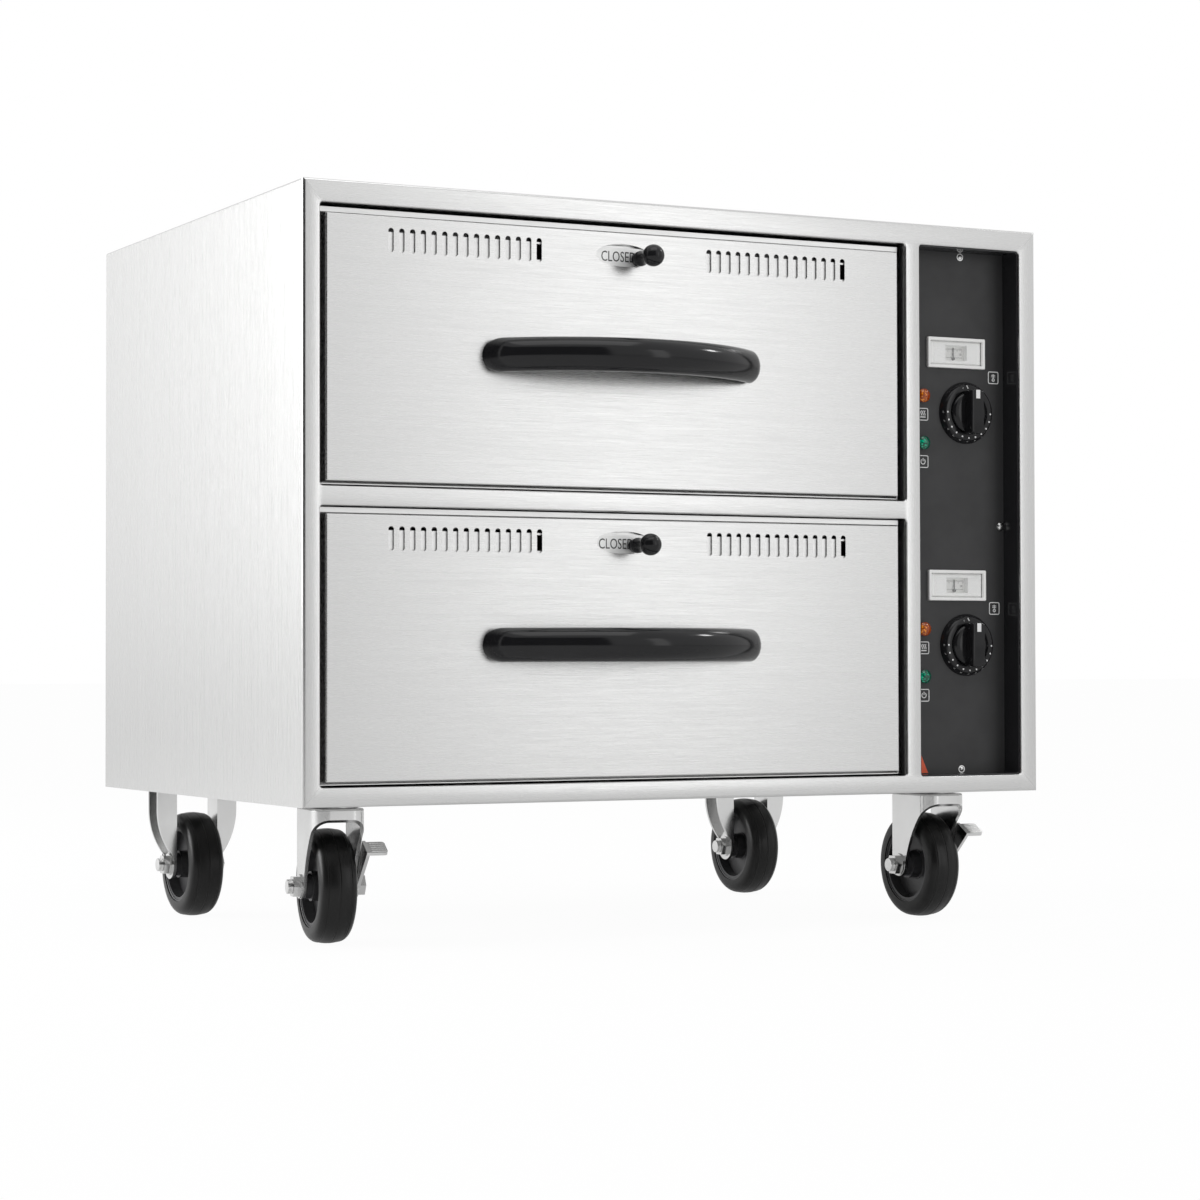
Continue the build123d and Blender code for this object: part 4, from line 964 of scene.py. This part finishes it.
def plate_surface():
    """Flat plate with the holes that its dials, lamps and thermometers need."""
    holes = []
    for drawer in DRAWERS:
        dial_z = DIAL_Z[drawer]
        holes.append(round_path((DIAL_X, dial_z), 7.0 * MM))
        holes.append(round_path((LAMP_X, dial_z + AMBER_ABOVE_DIAL), 4.0 * MM))
        holes.append(round_path((LAMP_X, dial_z - GREEN_BELOW_DIAL), 4.0 * MM))
        case_x = (CASE_LOW[0] + 3 * MM, CASE_HIGH[0] - 3 * MM)
        holes.append(ring_path(case_x, around(CASE_Z[drawer], 11 * MM), 0.5 * MM))
    outline = ring_path(CONTROL_X, CONTROL_Z, OPENING_R)
    levels = (PANEL_Y, PANEL_Y + FRAME_SHEET)
    surface = Surface()
    for y in levels:
        surface.fill([outline, *holes], y)
    for loop in (outline, *holes):
        surface.wall(loop, levels)
    return surface


class WARMER_OT_drawers(bpy.types.Operator):
    """Bowed handles, ball knobs of the vents, and the folded rim behind each drawer front"""
    bl_idname = "warmer.drawers"
    bl_label = "Drawer trim"

    def execute(self, context):
        for drawer in DRAWERS:
            piece = handle_surface(drawer).build(
                f"{drawer}_bow_handle", f"{drawer}_drawer", "black_gloss", angle=50)
            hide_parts(f"{drawer}_handle")
            vent_knob(drawer)
            folded_rim(drawer)
        return {"FINISHED"}


HANDLE_R = 191 * MM
HANDLE_REACH = 69 * MM
HANDLE_HALF = (136.0 * MM, 14.8 * MM)
HANDLE_X = BODY_X[0] + 302.0 * MM
HANDLE_Z = {"upper": BODY_Z[0] + 385.3 * MM, "lower": BODY_Z[0] + 136.2 * MM}
HANDLE_BULGE = 13 * MM
HANDLE_T = 16 * MM
FRONT_GAP = 2.6 * MM
BALL_R = 9.7 * MM
BALL_START = math.radians(148)
KNOB_SHIFT = {"upper": 0.7 * MM, "lower": -2.8 * MM}
KNOB_DROP = 2.4 * MM
RIM_NEAR = 9 * MM
RIM_SHEET = 0.8 * MM
RIM_LIP = 4.3 * MM


def handle_surface(drawer):
    """Bowed bar. Its outer face lies on circles about the bow's centre whose radius falls along an
    ellipse with the distance from the bar's middle line, and that distance is also taken round both
    ends. Its back is a plain circle, cut off at the drawer front."""
    length, half = HANDLE_HALF
    front_y = FACE_Y + FRONT_GAP
    centre_y = FACE_Y + HANDLE_R - HANDLE_REACH
    way = np.linspace(-1, 1, 97)
    x = length * np.sin(way * np.pi / 2)
    past = np.maximum(np.abs(x) - (length - half), 0)
    tall = np.sqrt(np.maximum(half ** 2 - past ** 2, 0))
    turn = np.linspace(-np.pi / 2, np.pi / 2, 25)
    height = tall[:, None] * np.sin(turn)[None]
    from_line = np.minimum(np.sqrt(past[:, None] ** 2 + height ** 2) / half, 1)
    outer_r = HANDLE_R - HANDLE_BULGE + HANDLE_BULGE * np.sqrt(1 - from_line ** 2)
    outer_y = np.minimum(centre_y - np.sqrt(outer_r ** 2 - x[:, None] ** 2), front_y)
    back_r = HANDLE_R - HANDLE_T
    back_y = np.minimum(centre_y - np.sqrt(back_r ** 2 - x ** 2), front_y)
    sides = [(outer_y, height), (back_y[:, None], height[:, ::-1] * 0.94)]
    points = np.concatenate(
        [np.stack(np.broadcast_arrays(x[:, None], y, z), axis=2) for y, z in sides], axis=1)
    points[..., 0] += HANDLE_X
    points[..., 2] += HANDLE_Z[drawer]
    return Surface().grid(points, wrap_v=True, caps=True)


def vent_knob(drawer):
    """Collar, waisted neck and ball, turned about a line square to the drawer front. Past the neck,
    the radius follows the ball's circle."""
    knob_low, knob_high = low(f"{drawer}_vent_knob"), high(f"{drawer}_vent_knob")
    x = (knob_low[0] + knob_high[0]) / 2 + KNOB_SHIFT[drawer]
    z = (knob_low[2] + knob_high[2]) / 2 - KNOB_DROP
    reach = knob_high[1] - knob_low[1]
    turn = np.linspace(BALL_START, 0, 22)
    ball = np.stack([BALL_R * np.sin(turn), reach - BALL_R + BALL_R * np.cos(turn)], axis=1)
    neck = np.array([
        (0.0, 0.0), (6.0, 0.0), (6.0, 5.9), (6.9, 6.4),
        (6.8, 8.2), (6.0, 10.4), (5.0, 13.2), (4.8, 17.0)]) * MM
    points = turned(np.vstack([neck, ball]), (x, knob_high[1], z), OUTWARDS)
    surface = Surface().grid(points, wrap_v=True)
    piece = surface.build(f"{drawer}_ball_knob", f"{drawer}_vent", "black_gloss")
    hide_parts(f"{drawer}_vent_knob")


def folded_rim(drawer):
    """Forward fold of the plate behind the drawer front: a strip along each edge, and a lip at the top."""
    backer_low, backer_high = low(f"{drawer}_drawer_backer"), high(f"{drawer}_drawer_backer")
    near, far, sheet = FACE_Y + RIM_NEAR, backer_low[1], RIM_SHEET
    (x0, _, z0), (x1, _, z1) = backer_low, backer_high
    rim = Surface()
    rim.slab((x0, near, z1 - sheet), (x1, far, z1))
    rim.slab((x0, near - sheet, z1 - RIM_LIP), (x1, near, z1))
    rim.slab((x0, near, z0), (x0 + sheet, far, z1 - sheet))
    rim.slab((x1 - sheet, near, z0), (x1, far, z1 - sheet))
    rim.slab((x0 + sheet, near, z0), (x1 - sheet, far, z0 + sheet))
    # Its finish is steel painted lighter, as painted light in the gap's shade.
    rim.build(f"{drawer}_folded_rim", f"{drawer}_drawer", "zinc_sheet", "rim_steel_painted_bright", smooth=False)


CONTROL_SCREWS = ((672.3, 502.4, 2.6), (716.6, 249.4, 3.4), (671.7, 20.6, 2.6))
BACK_SCREW_IN = 8 * MM


class WARMER_OT_screws(bpy.types.Operator):
    """Domed screws of the control plate and of the back panel"""
    bl_idname = "warmer.screws"
    bl_label = "Screws"

    def execute(self, context):
        for number, (x, z, radius) in enumerate(CONTROL_SCREWS):
            place = (BODY_X[0] + x * MM, PANEL_Y, BODY_Z[0] + z * MM)
            domed_screw(f"control_screw_{number}", place, OUTWARDS, radius * MM)
        back_low, back_high = low("back_panel"), high("back_panel")
        rows = np.linspace(back_low[0] + BACK_SCREW_IN, back_high[0] - BACK_SCREW_IN, 5)
        ends = (back_low[2] + BACK_SCREW_IN, back_high[2] - BACK_SCREW_IN)
        for number, (x, z) in enumerate((x, z) for x in rows for z in ends):
            domed_screw(f"back_screw_{number}", (x, back_high[1], z), (0, 1, 0), 3 * MM)
        return {"FINISHED"}


def hex_nut(surface, origin, axis, across, height):
    """Six-sided nut with bevelled corners: six flats between two smaller six-sided ends."""
    r = across / math.sqrt(3)
    bevel = 0.93 * r
    profile = [(0, 0), (bevel, 0), (r, 0.12 * height), (r, 0.88 * height), (bevel, height), (0, height)]
    return surface.grid(turned(profile, origin, axis, 6), wrap_v=True)


class WARMER_OT_casters(bpy.types.Operator):
    """Moulded tyres, side lips, bolt threads, pedal ribs and plate bolts of the four casters"""
    bl_idname = "warmer.casters"
    bl_label = "Casters"

    def execute(self, context):
        for end, side in WHEELS:
            tyre(end, side)
            side_lips(end, side)
            bolt_thread(end, side)
        for side in SIDES:
            pedal_ribs(side)
        plate_bolts()
        return {"FINISHED"}


WHEELS = [(end, side) for end in ("front", "rear") for side in SIDES]
WHEEL_R = (high("rear_left_wheel_tread")[2] - low("rear_left_wheel_tread")[2]) / 2
WHEEL_HALF = 16.5 * MM
TREAD_BORE = 36.0 * MM
FORK_HALF = 23.5 * MM


def tyre_profile():
    """Closed profile of (radius, height) pairs. Over the middle half of the width the radius falls
    with the square of the height. Beyond it, it falls along a quarter of an ellipse. A narrow bell
    curve is taken off at the parting line in the middle and at a moulded line on each shoulder."""
    lines = (0.0, -10.4 * MM, 10.4 * MM)
    fine = [middle + np.linspace(-0.9, 0.9, 9) * MM for middle in lines]
    height = np.unique(np.concatenate([np.linspace(-WHEEL_HALF, WHEEL_HALF, 41), *fine]))
    share = np.abs(height) / (WHEEL_HALF / 2)
    crown = WHEEL_R - 0.9 * MM * share ** 2
    past = np.clip(share - 1, 0, 1)
    shoulder = WHEEL_R - 9 * MM + 8.1 * MM * np.sqrt(1 - past ** 2)
    radius = np.where(share < 1, crown, shoulder)
    for middle in lines:
        radius = radius - 0.35 * MM * np.exp(-((height - middle) / (0.3 * MM)) ** 2)
    outer = np.stack([radius, height], axis=1)
    return np.vstack([outer, [(TREAD_BORE, WHEEL_HALF), (TREAD_BORE, -WHEEL_HALF)]])


def tyre(end, side):
    joint = f"{end}_{side}_wheel_roll"
    points = turned(tyre_profile(), AXLE[joint], AXLE_DIR[joint], 128)
    surface = Surface().grid(points, wrap_u=True, wrap_v=True)
    piece = surface.build(f"{end}_{side}_tyre", f"{end}_{side}_wheel", "tread_rubber")
    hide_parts(f"{end}_{side}_wheel_tread")


def side_lips(end, side):
    """Round beads where the tyre meets the wheel's centre, and round the hub's dish."""
    joint = f"{end}_{side}_wheel_roll"
    lips = Surface()
    bead = round_path((0, 0), 1.0, 10) * (0.9 * MM, 0.8 * MM)
    for way in (-1, 1):
        for radius, height in ((35.6 * MM, 14.6 * MM), (13.6 * MM, 4.2 * MM)):
            lip = bead + np.array([radius, way * height])
            lips.grid(turned(lip, AXLE[joint], AXLE_DIR[joint], 72), wrap_u=True, wrap_v=True)
    lips.build(f"{end}_{side}_side_lips", f"{end}_{side}_wheel", "wheel_grey")


def bolt_thread(end, side):
    """Rings of thread on the bolt's free end: the radius rises and falls once in each pitch."""
    joint = f"{end}_{side}_wheel_roll"
    holder = "cabinet" if end == "rear" else f"front_{side}_caster"
    start = FORK_HALF + 7.6 * MM
    height = np.linspace(start, start + 4.3 * MM, 29)
    radius = 6.02 * MM + 0.3 * MM * np.abs(np.sin(np.pi * (height - start) / (1.1 * MM)))
    core = [(5.0 * MM, -height[-1]), (5.0 * MM, -height[0])]
    profile = np.vstack([np.stack([radius, -height], axis=1), core])
    surface = Surface().grid(turned(profile, AXLE[joint], AXLE_DIR[joint], 40), wrap_u=True, wrap_v=True)
    surface.build(f"{end}_{side}_bolt_thread", holder, "zinc_plate")


PEDAL_MIDDLE = (-15.0 * MM, -39.5 * MM)
PEDAL_TILT = math.radians(30)
PEDAL_X = (28.5 * MM, 42.0 * MM)


def pedal_ribs(side):
    """Five rounded ribs across the pedal's upper face, each a half cylinder laid along the axle."""
    across = AXLE_DIR[f"front_{side}_wheel_roll"]
    back = np.cross((0, 0, 1.0), across)
    pin = AXLE[f"front_{side}_swivel"]
    middle = np.array([pin[0], pin[1], BODY_Z[0] + PEDAL_MIDDLE[1]]) + back * PEDAL_MIDDLE[0]
    along = back * math.cos(PEDAL_TILT) + np.array([0, 0, math.sin(PEDAL_TILT)])
    up = np.cross(across, along)
    turn = np.linspace(0, 2 * np.pi, 12, endpoint=False)
    ribs = Surface()
    for number in range(5):
        centre = middle + along * (number - 2) * 3.1 * MM + up * 1.4 * MM
        ring = centre + 0.8 * MM * (np.cos(turn)[:, None] * along + np.sin(turn)[:, None] * up)
        ends = np.stack([ring + across * x for x in PEDAL_X])
        ribs.grid(ends, wrap_v=True, caps=True)
    ribs.build(f"{side}_pedal_ribs", f"front_{side}_brake", "zinc_plate")


def plate_bolts():
    """Four six-sided heads under each caster's top plate."""
    surface = Surface()
    plates_y = (low("front_caster_plates")[1] + high("front_caster_plates")[1]) / 2
    for end, side in WHEELS:
        x = AXLE[f"front_{side}_swivel"][0]
        y = plates_y if end == "front" else AXLE[f"rear_{side}_wheel_roll"][1]
        for dx in (-33 * MM, 33 * MM):
            for dy in (-41 * MM, 41 * MM):
                at = np.array([x + dx, y + dy, BODY_Z[0] + 3.1 * MM])
                hex_nut(surface, at, (0, 0, -1), 10 * MM, 4.5 * MM)
    surface.build("plate_bolts", "cabinet", "zinc_plate", angle=20)


FLOOR_REACH = 40.0
FLOOR_SEEN = 0.96
FLOOR_REFLECTED = 0.4
SCREEN_TURN = (-86, -2)
SCREEN_REACH = 3.7
SCREEN_Z = (0.02, 3.4)
CAMERA_PLACE = (-1.305, -2.597, 0.241)


class WARMER_OT_stage(bpy.types.Operator):
    """Pale floor, soft light and the camera"""
    bl_idname = "warmer.stage"
    bl_label = "Stage"

    def execute(self, context):
        studio = context.scene.warmer_studio
        make_floor()
        dark_screen()
        make_world(studio.world)
        softbox("Key softbox", (1.34, -2.88, 0.75), (-0.06, -0.23, 0.4), (0.5, 2.6), studio.key)
        softbox("Streak light", (1.9, -0.7, 1.9), (-0.06, -0.29, 0.4), (0.25, 0.25), studio.streak)
        softbox("Side softbox", (-2.6, 1.6, 1.1), (-0.37, 0.1, 0.45), (2.0, 1.6), studio.side)
        softbox("Top softbox", (-0.3, -1.0, 2.8), (0.0, -0.1, 0.4), (2.2, 1.4), studio.top)
        make_camera(studio)
        context.scene.view_settings.view_transform = "Standard"
        return {"FINISHED"}


def make_floor():
    """Wide pale floor. The camera sees it almost white, with a little of its shadows left, and
    reflections see it less bright than that."""
    mesh = bpy.data.meshes.new("floor")
    corners = [(x * FLOOR_REACH, y * FLOOR_REACH, 0) for x, y in ((-1, -1), (1, -1), (1, 1), (-1, 1))]
    mesh.from_pydata(corners, [], [(0, 1, 2, 3)])
    floor = linked("floor", mesh)
    made, tree, shader, _ = new_material("Pale floor")
    set_shader(tree, shader, Base_Color=(0.95, 0.95, 0.95, 1), Roughness=0.9, Specular_IOR_Level=0.1)
    white = node(tree, "ShaderNodeEmission", Strength=1.0)
    path = tree.nodes.new("ShaderNodeLightPath")
    reflected = math_node(tree, "MAXIMUM", path.outputs["Is Glossy Ray"], path.outputs["Is Transmission Ray"])
    share = math_node(
        tree, "MAXIMUM", math_node(tree, "MULTIPLY", path.outputs["Is Camera Ray"], FLOOR_SEEN),
        math_node(tree, "MULTIPLY", reflected, FLOOR_REFLECTED))
    mix = tree.nodes.new("ShaderNodeMixShader")
    out = next(n for n in tree.nodes if n.type == "OUTPUT_MATERIAL")
    tree.links.new(share, mix.inputs["Fac"])
    tree.links.new(shader.outputs[0], mix.inputs[1])
    tree.links.new(white.outputs[0], mix.inputs[2])
    tree.links.new(mix.outputs[0], out.inputs["Surface"])
    mesh.materials.append(made)


def dark_screen():
    """Curved dark screen round the camera's side of the room. Only reflections see it."""
    turn = np.radians(np.linspace(*SCREEN_TURN, 24))
    x, y = SCREEN_REACH * np.sin(turn), -SCREEN_REACH * np.cos(turn)
    rows = [np.stack([x, y, np.full(len(turn), z)], axis=1) for z in SCREEN_Z]
    mesh = bpy.data.meshes.new("dark_screen")
    index = np.arange(2 * len(turn)).reshape(2, -1)
    faces = np.stack([index[0, :-1], index[0, 1:], index[1, 1:], index[1, :-1]], axis=1)
    mesh.from_pydata(np.vstack(rows).tolist(), [], faces.tolist())
    screen = linked("dark_screen", mesh)
    mesh.materials.append(moulded("Dark screen", (0.03, 0.03, 0.03), 0.9, 3.0, 0.0, 0.0))
    for kind in ("camera", "diffuse", "transmission", "volume_scatter", "shadow"):
        setattr(screen, f"visible_{kind}", False)


def make_world(strength):
    world = bpy.data.worlds.new("Studio")
    bpy.context.scene.world = world
    world.use_nodes = True
    tree = world.node_tree
    background = next(n for n in tree.nodes if n.type == "BACKGROUND")
    background.inputs["Color"].default_value = (1, 1, 1, 1)
    path = tree.nodes.new("ShaderNodeLightPath")
    seen = math_node(tree, "MAXIMUM", path.outputs["Is Camera Ray"], math_node(
        tree, "MAXIMUM", path.outputs["Is Glossy Ray"], path.outputs["Is Transmission Ray"]))
    level = math_node(tree, "MULTIPLY_ADD", seen, 1.0 - strength, strength)
    tree.links.new(level, background.inputs["Strength"])


def softbox(name, place, target, size, power):
    lamp = bpy.data.lights.new(name, "AREA")
    lamp.shape = "RECTANGLE"
    lamp.size, lamp.size_y = size
    lamp.energy = power
    holder = linked(name, lamp)
    away = unit(np.subtract(place, target))
    across = unit(np.cross([0, 0, 1.0], away))
    up = np.cross(away, across)
    turn = Matrix(np.column_stack([across, up, away]).tolist()).to_4x4()
    holder.matrix_world = Matrix.Translation(place) @ turn


def make_camera(studio):
    lens = bpy.data.cameras.new("camera")
    lens.lens = studio.focal
    lens.sensor_width = 36.0
    lens.clip_end = 200
    camera = linked("camera", lens)
    camera.matrix_world = (
        Matrix.Translation(CAMERA_PLACE)
        @ Matrix.Rotation(-studio.yaw, 4, "Z")
        @ Matrix.Rotation(math.pi / 2 + studio.pitch, 4, "X")
        @ Matrix.Rotation(studio.roll, 4, "Z"))
    bpy.context.scene.camera = camera


# ---- panel and registration ---------------------------------------------------------
OPERATORS = (
    WARMER_OT_finishes, WARMER_OT_front, WARMER_OT_drawers, WARMER_OT_dials, WARMER_OT_vent_words,
    WARMER_OT_dial_marks, WARMER_OT_panel_marks, WARMER_OT_thermometers,
    WARMER_OT_screws, WARMER_OT_casters, WARMER_OT_stage,
)


class WARMER_PT_panel(bpy.types.Panel):
    """Settings and steps of the food warmer's finish"""
    bl_idname = "WARMER_PT_panel"
    bl_label = "Food warmer"
    bl_space_type = "VIEW_3D"
    bl_region_type = "UI"
    bl_category = "Warmer"

    def draw(self, context):
        for group in (context.scene.warmer_look, context.scene.warmer_marks, context.scene.warmer_studio):
            box = self.layout.box()
            for name in group.bl_rna.properties.keys():
                if name not in ("rna_type", "name"):
                    box.prop(group, name)
        for operator in OPERATORS:
            self.layout.operator(operator.bl_idname)


SETTINGS = (("warmer_look", WarmerLook), ("warmer_marks", WarmerMarks), ("warmer_studio", WarmerStudio))


def register():
    for name, group in SETTINGS:
        bpy.utils.register_class(group)
        setattr(bpy.types.Scene, name, bpy.props.PointerProperty(type=group))
    for made in (*OPERATORS, WARMER_PT_panel):
        bpy.utils.register_class(made)


def unregister():
    for made in (WARMER_PT_panel, *reversed(OPERATORS)):
        bpy.utils.unregister_class(made)
    for name, group in reversed(SETTINGS):
        delattr(bpy.types.Scene, name)
        bpy.utils.unregister_class(group)


def main():
    register()
    for operator in OPERATORS:
        area, name = operator.bl_idname.split(".")
        getattr(getattr(bpy.ops, area), name)()


if __name__ == "__main__":
    main()
